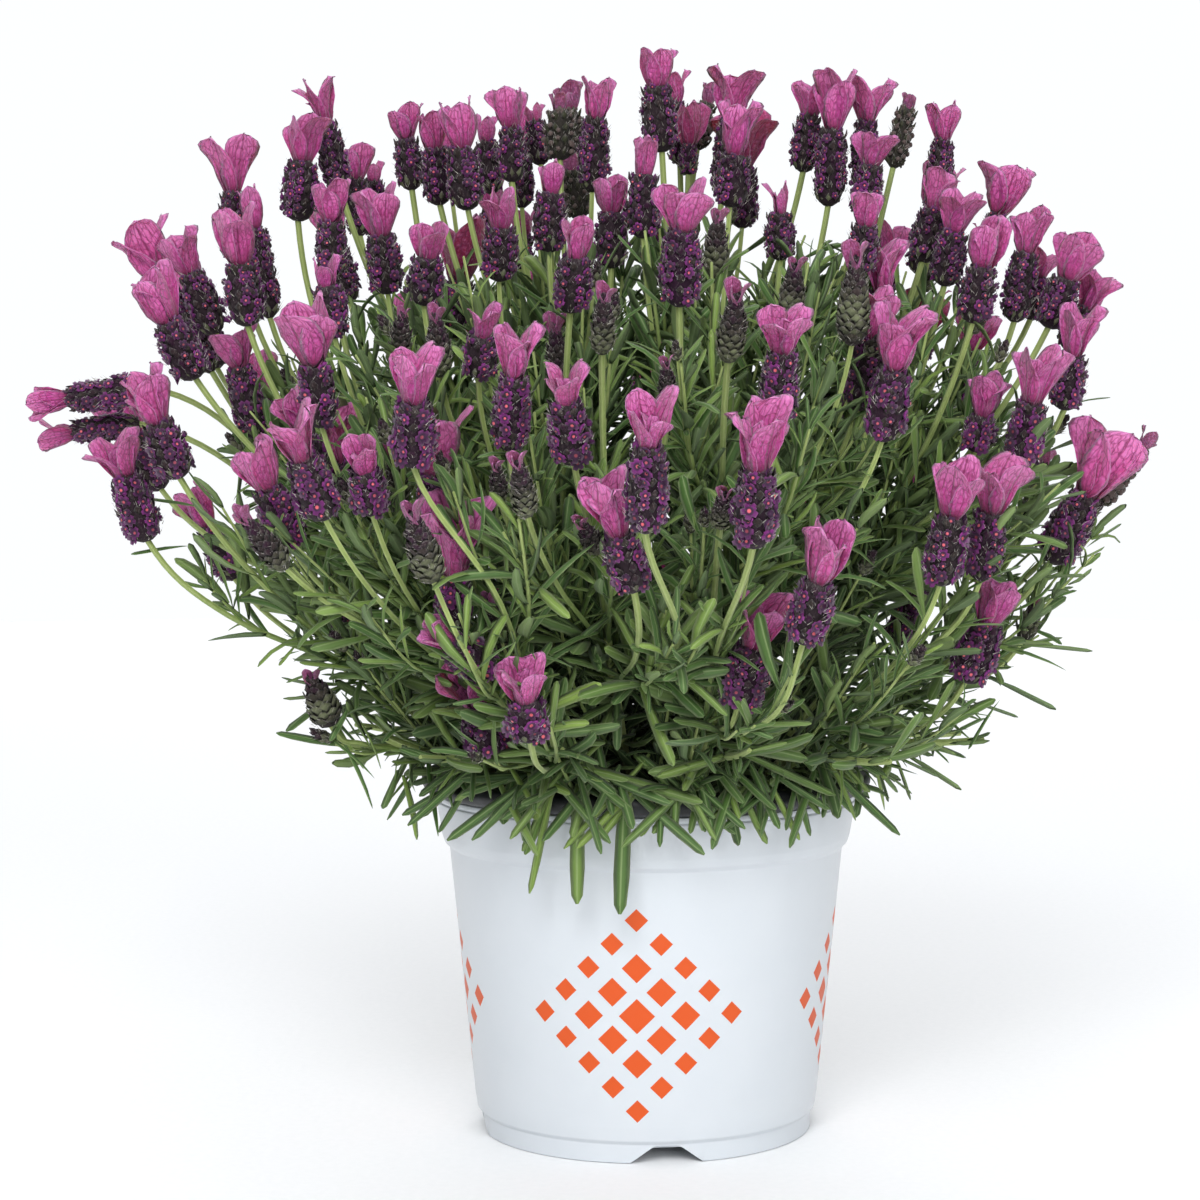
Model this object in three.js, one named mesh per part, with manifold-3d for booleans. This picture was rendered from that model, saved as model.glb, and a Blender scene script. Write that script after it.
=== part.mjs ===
import * as THREE from 'three';
import { mergeVertices } from 'three/addons/utils/BufferGeometryUtils.js';
import Module from 'manifold-3d';

const wasm = await Module();
wasm.setup();

// A spanish lavender in bloom, in a black grower's pot that is nested in a white pot.
// Millimetres, +Z up, the front of the plant towards -Y, the pot's foot on z = 0. The plant leans out further to one
// side and to the front, so the pot's axis stands off the origin, which is the middle of the whole outline.
const POT_AXIS = { x: 22, y: 15.7 };

// Everything below is set out about the pot's axis. Driving dimensions of the white pot
const POT_HEIGHT = 141.5;
const POT_RIM_RADIUS = 88;
const POT_WALL = 1.6;
const COLLAR_FOOT_RADIUS = 85.4;
const COLLAR_FOOT_HEIGHT = 124;
const STEP_RADIUS = 82.3;
const STEP_HEIGHT = 117.6;
const WALL_FOOT_RADIUS = 72;
const WALL_FOOT_HEIGHT = 15;
const SHOULDER_INSET = 0.9;
const SHOULDER_RISE = 1.6;
const GROOVE_DROP = 2.4;
const GROOVE_DEPTH = 0.7;
const GROOVE_HALF_WIDTH = 0.6;
const POT_FLOOR = 2;
const POT_FLOOR_INSET = 3;
const FOOT_RADIUS = 69.3;
const FOOT_HEIGHT = 7.7;
const FOOT_WIDTH = 3;
const FOOT_NOTCHES = 4;
const NOTCH_BOTTOM_WIDTH = 30;
const NOTCH_TOP_WIDTH = 10;
const NOTCH_HEIGHT = 7.2;
const NOTCH_DEPTH = 14;
const NOTCH_INNER_RADIUS = 60;
const NOTCH_TURN = THREE.MathUtils.degToRad(-83);
const DRAIN_HOLES = 4;
const DRAIN_HOLE_RADIUS = 6;
const DRAIN_HOLE_CIRCLE = 42;
const DRAIN_HOLE_SIDES = 8;
const DRAIN_HOLE_DEPTH = 40;

// Driving dimensions of the black grower's pot and its rolled lip
const NESTING_GAP = 0.35;
const LINER_WALL = 1.2;
const LIP_RADIUS = 94.3;
const LIP_TOP = 150.5;
const LIP_INNER_RADIUS = 84.2;
const LIP_FOOT_GAP = 0.3;
const LIP_FOOT_RADIUS = 88.8;
const LIP_ROLL = [[LIP_RADIUS - 1.6, 1.6], [LIP_RADIUS, 4.6], [LIP_RADIUS - 0.9, 7.8], [LIP_RADIUS - 3.6, 8.7]];
const LIP_INNER_EDGE = 1.5;
const LINER_NECK_DROP = 4;
const LINER_NECK_FLARE = 0.6;
const LINER_FLOOR_INSET = 2.5;

// Driving dimensions of the potting mix
const SOIL_EDGE_HEIGHT = 131;
const SOIL_CROWN_HEIGHT = 135;
const SOIL_CROWN_RADIUS = 66;
const SOIL_GAP = 0.35;
const SOIL_FLOOR_INSET = 3;
const SOIL_HOLE_LENGTH = 31;
const STEM_ROOM = 0.4;
const ROOTED_DEPTH = 13;

// Sides of the round pieces
const POT_SIDES = 24;

// The plant. Every stem fans out from the crown point, so that stems drawn to different places never cross.
const CROWN = new THREE.Vector3(0, 0, 96);
const SPRAYS = 27;
const SPRAY_FORK = 0.62;
const MAIN_STEM_RADIUS = 1.9;
const ROOT_SWELL = 1.1;
const STEM_TAPER = 0.85;
const SPRAY_WHORLS = [0, 0.45];
const LEAFY_WHORLS = [0, 0.5, 1];
const SPRAY_LEAF_SINK = 0.25;
const LEAFY_LEAF_SINK = 0.45;
const FORK_END = 7;
const LEAFY_END = 16;
const FLOWER_STEM_RADIUS = 1.15;
const FLOWER_STEM_START = 0.7;
const LEAF_LENGTHS = [28, 40.5];
const LEAF_LEANS = [34, 66];
const LEAF_SINKS = [0.5, 1.5];
const LEAF_SHORTER = 0.09;
const LEAF_WIDTH = 4.6;
const LEAF_THICKNESS = 1.1;
const CLEAR = 0.5;
const LIP_PASSING_HEIGHT = 9;
const KNEE_HEIGHT = 11;
const KNEE_LIMIT_RADIUS = 88.3;
const FORK_LIFT = 0.8;
const LEAST_FORK_RISE = 26;
const SETTLING_ROUNDS = 6;
const SPRAYS_TRIED = 4;
const SWERVES = 9;
const SWERVE_STEP = 9;
const LEAF_TRIES = 4;
const LEAF_BEND = 0.5;
const LEAF_NECK = 0.25;
const WHORL_HEIGHT = 3;
const FORKS_FROM = 0.56;
const FORKS_TO = 0.98;
const FORK_SHIFT = 0.13;
const STEM_BEND = 0.6;
const STEM_BEND_SHARE = 0.45;
const NECK_PART = 0.08;
const STEM_SIDES = 4;
const FLOWER_STEM_SIDES = 3;
const SPIKE_SIDES = 4;
const STEM_TRIES = 12;
const JOINT_DETAIL = 0.15;
const SLIVER_VOLUME = 5;
const BRACT_PARTING = THREE.MathUtils.degToRad(5);
const BRACT_SPREADS = [0.86, 1.02];
const BRACT_RISES = [0.48, 0.6];
const BRACT_TIP_SPREADS = [0.3, 0.95];
const BRACT_TIP_RISES = [0.82, 0.98];
const BRACT_HOLLOW = 0.1;

// Rings of a spike and of a bud: part of the length, share of the width, turned by half a side or not
const SPIKE_RINGS = [[0.14, 0.82, 0], [0.42, 1.06, 1], [0.72, 0.86, 0], [1, 0.74, 1]];
const BUD_RINGS = [[0.18, 0.86, 0], [0.55, 1.02, 1]];

// Half width of the plant at each height, [height, radius]
const DOME = [[120, 90], [146, 110], [180, 144], [221, 178], [263, 212], [305, 236], [347, 226], [389, 196],
  [430, 145], [452, 92], [468, 30]];
const DOME_CENTRE_X = -18;
const LEAST_DEPTH = 40;

// The front view that the flower heads are set out in: a frame of 1200 x 1200 pixels
const VIEW_DISTANCE = 1200;
const VIEW_HEIGHT = 296;
const VIEW_AIM_HEIGHT = 221.4;
const VIEW_FOCAL = 2871;
const VIEW_CENTRE = 600;
const VIEW_AXIS_COLUMN = 646;
const PIXELS_PER_MM = VIEW_FOCAL / VIEW_DISTANCE;

// Flower heads in the front view. Each row: foot column, foot row, tip column, tip row, depth from -1 at the
// front of the dome to 1 at its back, the bracts' part of the head's length, width of the spike, spread of the bracts
const HEADS = [
  [248, 326, 232, 200, -0.35, 0.50, 42, 42],
  [270, 318, 248, 183, 0.05, 0.33, 30, 20],
  [236, 262, 228, 130, 0.35, 0.47, 30, 36],
  [216, 334, 172, 228, 0.00, 0.42, 36, 38],
  [196, 379, 140, 263, -0.45, 0.50, 44, 50],
  [212, 372, 128, 220, 0.10, 0.40, 30, 42],
  [256, 438, 228, 322, -0.20, 0.38, 36, 48],
  [150, 388, 22, 406, -0.10, 0.36, 36, 24],
  [140, 424, 35, 436, 0.25, 0.35, 28, 22],
  [180, 478, 134, 367, -0.50, 0.50, 44, 40],
  [148, 541, 108, 428, -0.30, 0.42, 44, 52],
  [322, 427, 303, 294, -0.70, 0.52, 42, 52],
  [293, 548, 246, 438, -0.62, 0.45, 44, 52],
  [325, 519, 282, 406, -0.85, 0.46, 46, 48],
  [318, 470, 284, 386, -0.35, 0.50, 30, 24],
  [345, 520, 336, 400, -0.20, 0.50, 30, 40],
  [286, 568, 246, 520, -0.75, 0.00, 26, 16],
  [340, 190, 315, 73, 0.15, 0.42, 30, 40],
  [298, 221, 306, 110, -0.10, 0.45, 40, 42],
  [360, 236, 352, 140, 0.25, 0.40, 28, 30],
  [332, 276, 331, 175, -0.15, 0.45, 34, 32],
  [335, 338, 322, 255, -0.40, 0.36, 38, 24],
  [374, 236, 372, 158, 0.50, 0.30, 28, 14],
  [388, 294, 374, 180, -0.30, 0.48, 40, 42],
  [412, 190, 402, 100, 0.10, 0.42, 30, 34],
  [440, 205, 428, 110, -0.05, 0.40, 34, 26],
  [468, 210, 456, 95, -0.20, 0.45, 38, 36],
  [452, 198, 445, 128, 0.45, 0.30, 22, 14],
  [492, 194, 483, 112, 0.30, 0.35, 26, 18],
  [512, 182, 510, 82, 0.05, 0.45, 32, 34],
  [522, 208, 519, 108, 0.55, 0.35, 26, 20],
  [541, 165, 532, 102, 0.35, 0.30, 26, 24],
  [560, 160, 560, 90, -0.05, 0.28, 34, 20],
  [576, 218, 568, 78, 0.50, 0.22, 30, 18],
  [592, 192, 598, 75, -0.10, 0.36, 34, 32],
  [549, 252, 551, 158, -0.30, 0.36, 38, 18],
  [580, 219, 568, 150, 0.30, 0.30, 28, 18],
  [611, 268, 612, 173, -0.20, 0.40, 36, 30],
  [424, 305, 430, 220, -0.45, 0.42, 40, 38],
  [455, 338, 463, 212, 0.10, 0.55, 42, 56],
  [499, 281, 502, 186, -0.40, 0.42, 40, 36],
  [521, 270, 524, 205, 0.50, 0.50, 26, 20],
  [570, 312, 580, 215, -0.60, 0.42, 42, 22],
  [662, 152, 654, 44, -0.15, 0.38, 40, 30],
  [680, 165, 675, 68, 0.45, 0.35, 24, 14],
  [643, 238, 645, 134, -0.25, 0.38, 38, 20],
  [688, 175, 690, 98, 0.30, 0.60, 18, 34],
  [697, 150, 713, 77, 0.65, 0.35, 22, 12],
  [722, 197, 738, 63, 0.10, 0.40, 30, 36],
  [730, 207, 742, 97, -0.30, 0.52, 40, 26],
  [742, 228, 745, 100, 0.45, 0.52, 34, 76],
  [803, 172, 814, 74, 0.10, 0.42, 32, 36],
  [828, 206, 838, 64, -0.15, 0.45, 36, 34],
  [864, 190, 868, 71, 0.20, 0.42, 30, 44],
  [862, 216, 878, 126, -0.20, 0.42, 34, 42],
  [893, 168, 911, 93, 0.50, 0.20, 24, 14],
  [860, 273, 870, 189, -0.35, 0.42, 34, 28],
  [780, 260, 779, 180, -0.20, 0.40, 32, 16],
  [714, 277, 718, 220, -0.45, 0.00, 26, 16],
  [679, 306, 684, 176, -0.75, 0.40, 46, 48],
  [654, 286, 652, 205, 0.20, 0.30, 24, 18],
  [880, 330, 884, 232, -0.15, 0.60, 30, 34],
  [857, 410, 882, 284, -0.55, 0.42, 44, 30],
  [882, 441, 906, 300, -0.70, 0.48, 44, 46],
  [852, 344, 856, 262, -0.60, 0.00, 34, 0],
  [915, 362, 928, 283, 0.20, 0.65, 30, 50],
  [936, 222, 946, 97, 0.30, 0.34, 30, 25],
  [922, 262, 946, 165, -0.10, 0.45, 36, 36],
  [944, 286, 963, 185, -0.25, 0.45, 36, 32],
  [986, 266, 1010, 160, 0.20, 0.50, 28, 46],
  [972, 323, 992, 212, -0.40, 0.48, 40, 34],
  [1014, 322, 1034, 202, 0.00, 0.42, 34, 30],
  [1030, 320, 1046, 248, 0.30, 0.40, 26, 26],
  [1048, 328, 1086, 228, -0.25, 0.50, 40, 38],
  [1066, 350, 1106, 267, 0.20, 0.50, 26, 36],
  [1064, 410, 1082, 300, -0.30, 0.50, 38, 38],
  [1020, 464, 1044, 340, -0.50, 0.50, 42, 44],
  [975, 452, 993, 370, -0.35, 0.55, 34, 34],
  [1050, 563, 1122, 425, -0.35, 0.50, 46, 62],
  [1096, 505, 1155, 430, 0.20, 0.22, 26, 16],
  [940, 585, 962, 455, -0.75, 0.45, 44, 44],
  [980, 580, 1000, 449, -0.62, 0.47, 42, 58],
  [965, 682, 1005, 579, -0.70, 0.42, 46, 40],
  [1022, 640, 1036, 605, -0.20, 0.00, 20, 0],
  [1028, 522, 1046, 460, 0.30, 0.00, 22, 0],
  [602, 353, 604, 298, -0.70, 0.00, 24, 11],
  [560, 390, 555, 328, -0.45, 0.00, 24, 14],
  [574, 463, 561, 364, -0.85, 0.36, 46, 38],
  [509, 450, 518, 321, -0.78, 0.42, 42, 38],
  [478, 376, 485, 304, -0.60, 0.42, 38, 26],
  [440, 376, 436, 318, -0.50, 0.00, 26, 20],
  [400, 356, 402, 317, -0.40, 0.00, 20, 12],
  [413, 466, 415, 345, -0.85, 0.45, 50, 36],
  [432, 520, 436, 400, -0.50, 0.60, 34, 66],
  [372, 513, 359, 435, -0.80, 0.45, 42, 26],
  [399, 512, 394, 450, -0.55, 0.00, 22, 12],
  [433, 580, 412, 517, -0.92, 0.00, 34, 16],
  [454, 628, 455, 490, -0.80, 0.62, 40, 54],
  [490, 670, 423, 624, -0.95, 0.40, 44, 28],
  [492, 753, 464, 658, -1.00, 0.50, 50, 64],
  [530, 739, 520, 658, -1.00, 0.50, 46, 48],
  [512, 652, 490, 604, -0.95, 0.00, 26, 0],
  [527, 515, 518, 464, -0.90, 0.00, 26, 9],
  [500, 500, 497, 467, -0.70, 0.00, 16, 14],
  [645, 532, 650, 387, -1.00, 0.38, 46, 52],
  [668, 402, 666, 365, -0.70, 0.00, 16, 0],
  [634, 591, 601, 470, -1.00, 0.52, 46, 36],
  [598, 552, 582, 524, -0.80, 0.00, 20, 0],
  [728, 361, 737, 297, -0.75, 0.00, 28, 16],
  [777, 425, 786, 304, -0.80, 0.38, 42, 38],
  [753, 547, 762, 394, -0.98, 0.48, 50, 54],
  [720, 526, 724, 495, -0.90, 0.00, 21, 10],
  [803, 643, 834, 520, -0.98, 0.48, 48, 46],
  [738, 707, 766, 588, -1.00, 0.48, 52, 62],
  [331, 725, 312, 681, -0.60, 0.00, 34, 14],
  [790, 318, 795, 268, -0.50, 0.00, 26, 16],
];

// Depths, as shares of the dome's, that a head may be moved by to be clear of the others
const DEPTH_NUDGES = [0, -0.08, 0.08, -0.16, 0.16, -0.24, 0.24, -0.32, 0.32, -0.42, 0.42, -0.52, 0.52, 0.64, 0.78, 0.92,
  1.06];
const FOOT_DEPTH = 0.9;
const LEAST_BRACT_RADIUS = 2;

// Heads at the back of the dome, which the front view doesn't show, are set out by a rule. Angles in degrees.
const BACK_HEADS = 26;
const BACK_AZIMUTHS = [12, 168];
const BACK_HEIGHTS = [215, 425];
const BACK_REACHES = [0.78, 0.99];
const BACK_LENGTHS = [42.5, 55];
const BACK_WIDTHS = [13.6, 17.6];
const BACK_BRACT_PARTS = [0.38, 0.5];
const BACK_BRACT_SPREAD = 0.52;
const BACK_NUDGES = [0, 5, -5, 10, -10, 15, -15];
const BACK_UPRIGHTNESS = 0.7;

// Leafy stems without flowers, set out round the pot: those that hang over the rim, and those between the sprays
const LOW_STEMS = 12;
const LOW_ROOT_RADIUS = 56;
const LOW_KNEE_RADIUS = 82.3;
const LOW_KNEE_HEIGHT = 159.5;
const LOW_REACHES = [106, 132];
const LOW_HEIGHTS = [160, 170];
const LOW_NUDGE = 0.1;
const INNER_STEMS = 6;
const INNER_SLOPES = [14, 46];
const INNER_REACHES = [150, 118];
const INNER_NUDGE = 0.12;

const GOLDEN_PART = 0.618034;
const GOLDEN_ANGLE = 2.399963;
const DRAW_STEP = 12.9898;
const DRAW_TURN = 78.233;
const DRAW_SPREAD = 43758.5453;

// What a draw is for. Those that are drawn again at each try or corner have room for it above them.
const FOR = {
  backHeight: 3,
  backReach: 4,
  backLength: 5,
  backWidth: 6,
  backBracts: 7,
  swerveX: 31,
  swerveY: 61,
  swerveZ: 91,
  bractSpread: 121,
  bractRise: 131,
  bractTip: 141,
  bractEnd: 151,
  leafLength: 201,
  leafLean: 221,
  leafSink: 241,
  lowReach: 301,
  lowHeight: 302,
  stemNudge: 401,
};

const WHITE = new THREE.MeshStandardMaterial({ color: 0xe9ecf1, roughness: 0.32, metalness: 0 });
const BLACK = new THREE.MeshStandardMaterial({ color: 0x16181b, roughness: 0.4, metalness: 0 });
const SOIL = new THREE.MeshStandardMaterial({ color: 0x2e231b, roughness: 0.95, metalness: 0 });
const PURPLE = new THREE.MeshStandardMaterial({ color: 0x8e3d79, roughness: 0.7, metalness: 0 });
const GREEN = new THREE.MeshStandardMaterial({ color: 0x56753f, roughness: 0.7, metalness: 0 });

const UP = new THREE.Vector3(0, 0, 1);

// A repeatable draw between 0 and 1 for an item and a purpose
function draw(item, purpose) {
  const value = Math.sin(item * DRAW_STEP + purpose * DRAW_TURN) * DRAW_SPREAD;
  return value - Math.floor(value);
}

function between(low, high, part) {
  return low + (high - low) * part;
}

// A value of a range [low, high], drawn for an item and a purpose
function drawn([low, high], item, purpose) {
  return between(low, high, draw(item, purpose));
}

// Half width of the plant at a height
function domeRadius(height) {
  for (let k = 1; k < DOME.length; k += 1) {
    const [lowHeight, lowRadius] = DOME[k - 1];
    const [highHeight, highRadius] = DOME[k];
    if (height <= highHeight) {
      const part = Math.max(0, (height - lowHeight) / (highHeight - lowHeight));
      return between(lowRadius, highRadius, part);
    }
  }
  return DOME[DOME.length - 1][1];
}

// The point of the front view's pixel at the depth y
function placeInView(column, row, y) {
  const pitch = Math.atan2(VIEW_HEIGHT - VIEW_AIM_HEIGHT, VIEW_DISTANCE);
  const right = column - VIEW_AXIS_COLUMN;
  const up = VIEW_CENTRE - row;
  const forward = VIEW_FOCAL * Math.cos(pitch) + up * Math.sin(pitch);
  const rise = up * Math.cos(pitch) - VIEW_FOCAL * Math.sin(pitch);
  const reach = (y + VIEW_DISTANCE) / forward;
  return new THREE.Vector3(right * reach, y, VIEW_HEIGHT + rise * reach);
}

// Shortest distance between the segments a-b and c-d
function segmentDistance(a, b, c, d) {
  const u = b.clone().sub(a);
  const v = d.clone().sub(c);
  const w = a.clone().sub(c);
  const uu = u.dot(u);
  const uv = u.dot(v);
  const vv = v.dot(v);
  const uw = u.dot(w);
  const vw = v.dot(w);
  const det = uu * vv - uv * uv;
  let s = det > 1e-9 ? THREE.MathUtils.clamp((uv * vw - vv * uw) / det, 0, 1) : 0;
  const t = vv > 1e-9 ? THREE.MathUtils.clamp((uv * s + vw) / vv, 0, 1) : 0;
  s = uu > 1e-9 ? THREE.MathUtils.clamp((uv * t - uw) / uu, 0, 1) : 0;
  return a.clone().addScaledVector(u, s).distanceTo(c.clone().addScaledVector(v, t));
}

// The least room between the rods of one list and those of another; a rod is { from, to, radius }
function roomBetween(rods, others) {
  let room = Infinity;
  for (const rod of rods) {
    for (const other of others) {
      const reach = rod.radius + other.radius;
      const distance = segmentDistance(rod.from, rod.to, other.from, other.to) - reach;
      room = Math.min(room, distance);
    }
  }
  return room;
}

// Room between rods and the pots' rim and the soil
function roomAtPot(rods) {
  const samples = 12;
  let room = Infinity;
  for (const { from, to, radius } of rods) {
    for (let k = 0; k <= samples; k += 1) {
      const point = from.clone().lerp(to, k / samples);
      const away = Math.hypot(point.x, point.y);
      const above = point.z - LIP_TOP - radius;
      const outside = away - LIP_RADIUS - radius;
      const inside = Math.min(LIP_INNER_RADIUS - away, point.z - SOIL_CROWN_HEIGHT) - radius;
      room = Math.min(room, Math.max(above, outside, inside));
    }
  }
  return room;
}

// A head's pieces as rods: its spike and its bracts
function headRods(head) {
  const rods = [{ from: head.foot, to: head.neck, radius: head.radius }];
  if (head.bractPart > 0) {
    const wide = head.neck.clone().lerp(head.tip, 0.35);
    rods.push({ from: wide, to: head.tip, radius: head.bractRadius });
  }
  return rods;
}

function makeHead(foot, tip, bractPart, radius, bractRadius) {
  const neck = tip.clone().lerp(foot, bractPart);
  return { foot, tip, neck, bractPart, radius, bractRadius };
}

// A head of the front view, at a share of the dome's depth
function headInView(row, share) {
  const [footColumn, footRow, tipColumn, tipRow, , bractPart, spikeWidth, bractSpread] = row;
  let y = 0;
  for (let k = 0; k < 3; k += 1) {
    const tip = placeInView(tipColumn, tipRow, y);
    y = share * Math.sqrt(Math.max(LEAST_DEPTH ** 2, domeRadius(tip.z) ** 2 - (tip.x - DOME_CENTRE_X) ** 2));
  }
  const tip = placeInView(tipColumn, tipRow, y);
  const foot = placeInView(footColumn, footRow, y * FOOT_DEPTH);
  const scale = (VIEW_DISTANCE + y) / VIEW_DISTANCE / PIXELS_PER_MM;
  const bractRadius = Math.max(LEAST_BRACT_RADIUS, (bractSpread * scale) / 2);
  return makeHead(foot, tip, bractPart, (spikeWidth * scale) / 2, bractRadius);
}

// A head at the back, by the rule
function headAtBack(k, nudge) {
  const azimuth = THREE.MathUtils.degToRad(between(...BACK_AZIMUTHS, (k * GOLDEN_PART + 0.2) % 1) + nudge);
  const height = between(...BACK_HEIGHTS, (k + draw(k, FOR.backHeight)) / BACK_HEADS);
  const away = domeRadius(height) * drawn(BACK_REACHES, k, FOR.backReach);
  const tip = new THREE.Vector3(DOME_CENTRE_X + Math.cos(azimuth) * away, Math.sin(azimuth) * away, height);
  const lean = direction(CROWN, tip).addScaledVector(UP, BACK_UPRIGHTNESS).normalize();
  const foot = tip.clone().addScaledVector(lean, -drawn(BACK_LENGTHS, k, FOR.backLength));
  const width = drawn(BACK_WIDTHS, k, FOR.backWidth);
  return makeHead(foot, tip, drawn(BACK_BRACT_PARTS, k, FOR.backBracts), width / 2, width * BACK_BRACT_SPREAD);
}

// Heads are set at their own depth, or at the nearest one that is clear of the heads before them
function setOutHeads() {
  const heads = [];
  const rods = [];
  const settle = (candidates) => {
    let best = null;
    let bestRoom = -Infinity;
    for (const head of candidates) {
      const room = roomBetween(headRods(head), rods);
      if (room > bestRoom) {
        best = head;
        bestRoom = room;
      }
      if (room > CLEAR) {
        break;
      }
    }
    heads.push(best);
    rods.push(...headRods(best));
  };
  for (const row of HEADS) {
    const shares = DEPTH_NUDGES.map((nudge) => THREE.MathUtils.clamp(row[4] + nudge, -1, 1));
    settle(shares.map((share) => headInView(row, share)));
  }
  for (let k = 0; k < BACK_HEADS; k += 1) {
    settle(BACK_NUDGES.map((nudge) => headAtBack(k, nudge)));
  }
  return heads;
}

// The closed skin of a grown piece: points, and triangles that face outwards
class Skin {
  constructor() {
    this.points = [];
    this.faces = [];
  }

  point(place) {
    this.points.push(place.x, place.y, place.z);
    return this.points.length / 3 - 1;
  }

  face(a, b, c) {
    this.faces.push(a, b, c);
  }

  // A ring of points round a centre, counterclockwise about the axis, from the direction side
  ring(centre, axis, side, radius, sides, turn = 0) {
    const across = axis.clone().cross(side);
    const ids = [];
    const angles = [];
    for (let k = 0; k < sides; k += 1) {
      const angle = turn + (k * 2 * Math.PI) / sides;
      const place = centre.clone().addScaledVector(side, radius * Math.cos(angle));
      ids.push(this.point(place.addScaledVector(across, radius * Math.sin(angle))));
      angles.push(angle);
    }
    return { ids, angles };
  }

  // Triangles between a ring and the next one up the axis
  bridge(low, high) {
    const full = 2 * Math.PI;
    const angleOf = (ring, k) => ring.angles[k % ring.ids.length] + (k >= ring.ids.length ? full : 0);
    const idOf = (ring, k) => ring.ids[k % ring.ids.length];
    let i = 0;
    let j = 0;
    while (i < low.ids.length || j < high.ids.length) {
      const lowTurn = i < low.ids.length && (j >= high.ids.length || angleOf(low, i + 1) <= angleOf(high, j + 1));
      if (lowTurn) {
        this.face(idOf(low, i), idOf(low, i + 1), idOf(high, j));
        i += 1;
      } else {
        this.face(idOf(low, i), idOf(high, j + 1), idOf(high, j));
        j += 1;
      }
    }
  }

  closeBelow(ring) {
    for (let k = 1; k < ring.ids.length - 1; k += 1) {
      this.face(ring.ids[0], ring.ids[k + 1], ring.ids[k]);
    }
  }

  closeAbove(ring) {
    for (let k = 1; k < ring.ids.length - 1; k += 1) {
      this.face(ring.ids[0], ring.ids[k], ring.ids[k + 1]);
    }
  }

  tip(ring, place) {
    const tip = this.point(place);
    const count = ring.ids.length;
    for (let k = 0; k < count; k += 1) {
      this.face(ring.ids[k], ring.ids[(k + 1) % count], tip);
    }
  }

  // A leaf that grows out of the four-cornered place a, b, c, d of a stem's skin, seen anticlockwise from outside
  leaf(place, leaf) {
    const [a, b, c, d] = place;
    const l = this.point(leaf.left);
    const r = this.point(leaf.right);
    const k = this.point(leaf.keel);
    const tip = this.point(leaf.tip);
    this.face(a, b, k);
    this.face(b, c, r);
    this.face(b, r, k);
    this.face(c, d, l);
    this.face(c, l, r);
    this.face(d, a, k);
    this.face(d, k, l);
    this.face(k, r, tip);
    this.face(l, k, tip);
    this.face(r, l, tip);
  }

  solid() {
    const mesh = new wasm.Mesh({
      numProp: 3,
      vertProperties: new Float32Array(this.points),
      triVerts: new Uint32Array(this.faces),
    });
    return new wasm.Manifold(mesh);
  }
}

// The side direction carried on to a new axis without a twist
function carrySide(side, axis) {
  return side.clone().addScaledVector(axis, -side.dot(axis)).normalize();
}

function anySide(axis) {
  const reference = Math.abs(axis.x) < 0.8 ? new THREE.Vector3(1, 0, 0) : new THREE.Vector3(0, 1, 0);
  return carrySide(reference, axis);
}

function direction(from, to) {
  return to.clone().sub(from).normalize();
}

// Heads whose feet lie the same way from the crown share a main stem: the ways of the stems settle on their middles
function stemWays(heads) {
  const ways = heads.map((head) => direction(CROWN, head.foot));
  const centres = [ways[0].clone()];
  const nearness = (way, list) => Math.max(...list.map((centre) => centre.dot(way)));
  while (centres.length < SPRAYS) {
    let farthest = ways[0];
    for (const way of ways) {
      if (nearness(way, centres) < nearness(farthest, centres)) {
        farthest = way;
      }
    }
    centres.push(farthest.clone());
  }
  for (let round = 0; round < SETTLING_ROUNDS; round += 1) {
    const sums = centres.map(() => new THREE.Vector3());
    for (const way of ways) {
      sums[nearestOf(way, centres)[0]].add(way);
    }
    sums.forEach((sum, k) => centres[k].copy(sum.normalize()));
  }
  return centres;
}

// The numbers of the centres, the nearest to a way first
function nearestOf(way, centres) {
  const order = centres.map((_, k) => k);
  return order.sort((a, b) => centres[b].dot(way) - centres[a].dot(way));
}

// A main stem runs from the root through a knee above the soil, raised where it has to pass over the pot's lip,
// to the fork
function mainStem(way, reach) {
  const slope = Math.hypot(way.x, way.y);
  const rootReach = (SOIL_CROWN_HEIGHT - ROOTED_DEPTH - CROWN.z) / way.z;
  const heightAtLip = CROWN.z + (LIP_RADIUS * way.z) / slope;
  const lift = Math.max(0, LIP_TOP + LIP_PASSING_HEIGHT - heightAtLip);
  const aboveSoil = (SOIL_CROWN_HEIGHT + KNEE_HEIGHT - CROWN.z) / way.z;
  const kneeReach = Math.min(Math.max(reach / 2, aboveSoil), KNEE_LIMIT_RADIUS / slope);
  const forkReach = Math.max(reach, kneeReach + LEAST_FORK_RISE);
  const root = CROWN.clone().addScaledVector(way, rootReach);
  const knee = CROWN.clone().addScaledVector(way, kneeReach).addScaledVector(UP, lift);
  const fork = CROWN.clone().addScaledVector(way, forkReach).addScaledVector(UP, lift * FORK_LIFT);
  return [root, knee, fork];
}

function rodsAlong(points, radius) {
  const rods = [];
  for (let k = 1; k < points.length; k += 1) {
    rods.push({ from: points[k - 1], to: points[k], radius });
  }
  return rods;
}

// A flower stem leaves the main stem, and comes to its head along the head's own axis
function flowerStem(head, base, swerve) {
  const straight = base.clone().lerp(head.foot, STEM_BEND);
  const back = direction(head.neck, head.foot).multiplyScalar((1 - STEM_BEND) * base.distanceTo(head.foot));
  const inLine = head.foot.clone().add(back);
  return [base, straight.lerp(inLine, STEM_BEND_SHARE).add(swerve), head.foot];
}

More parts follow.
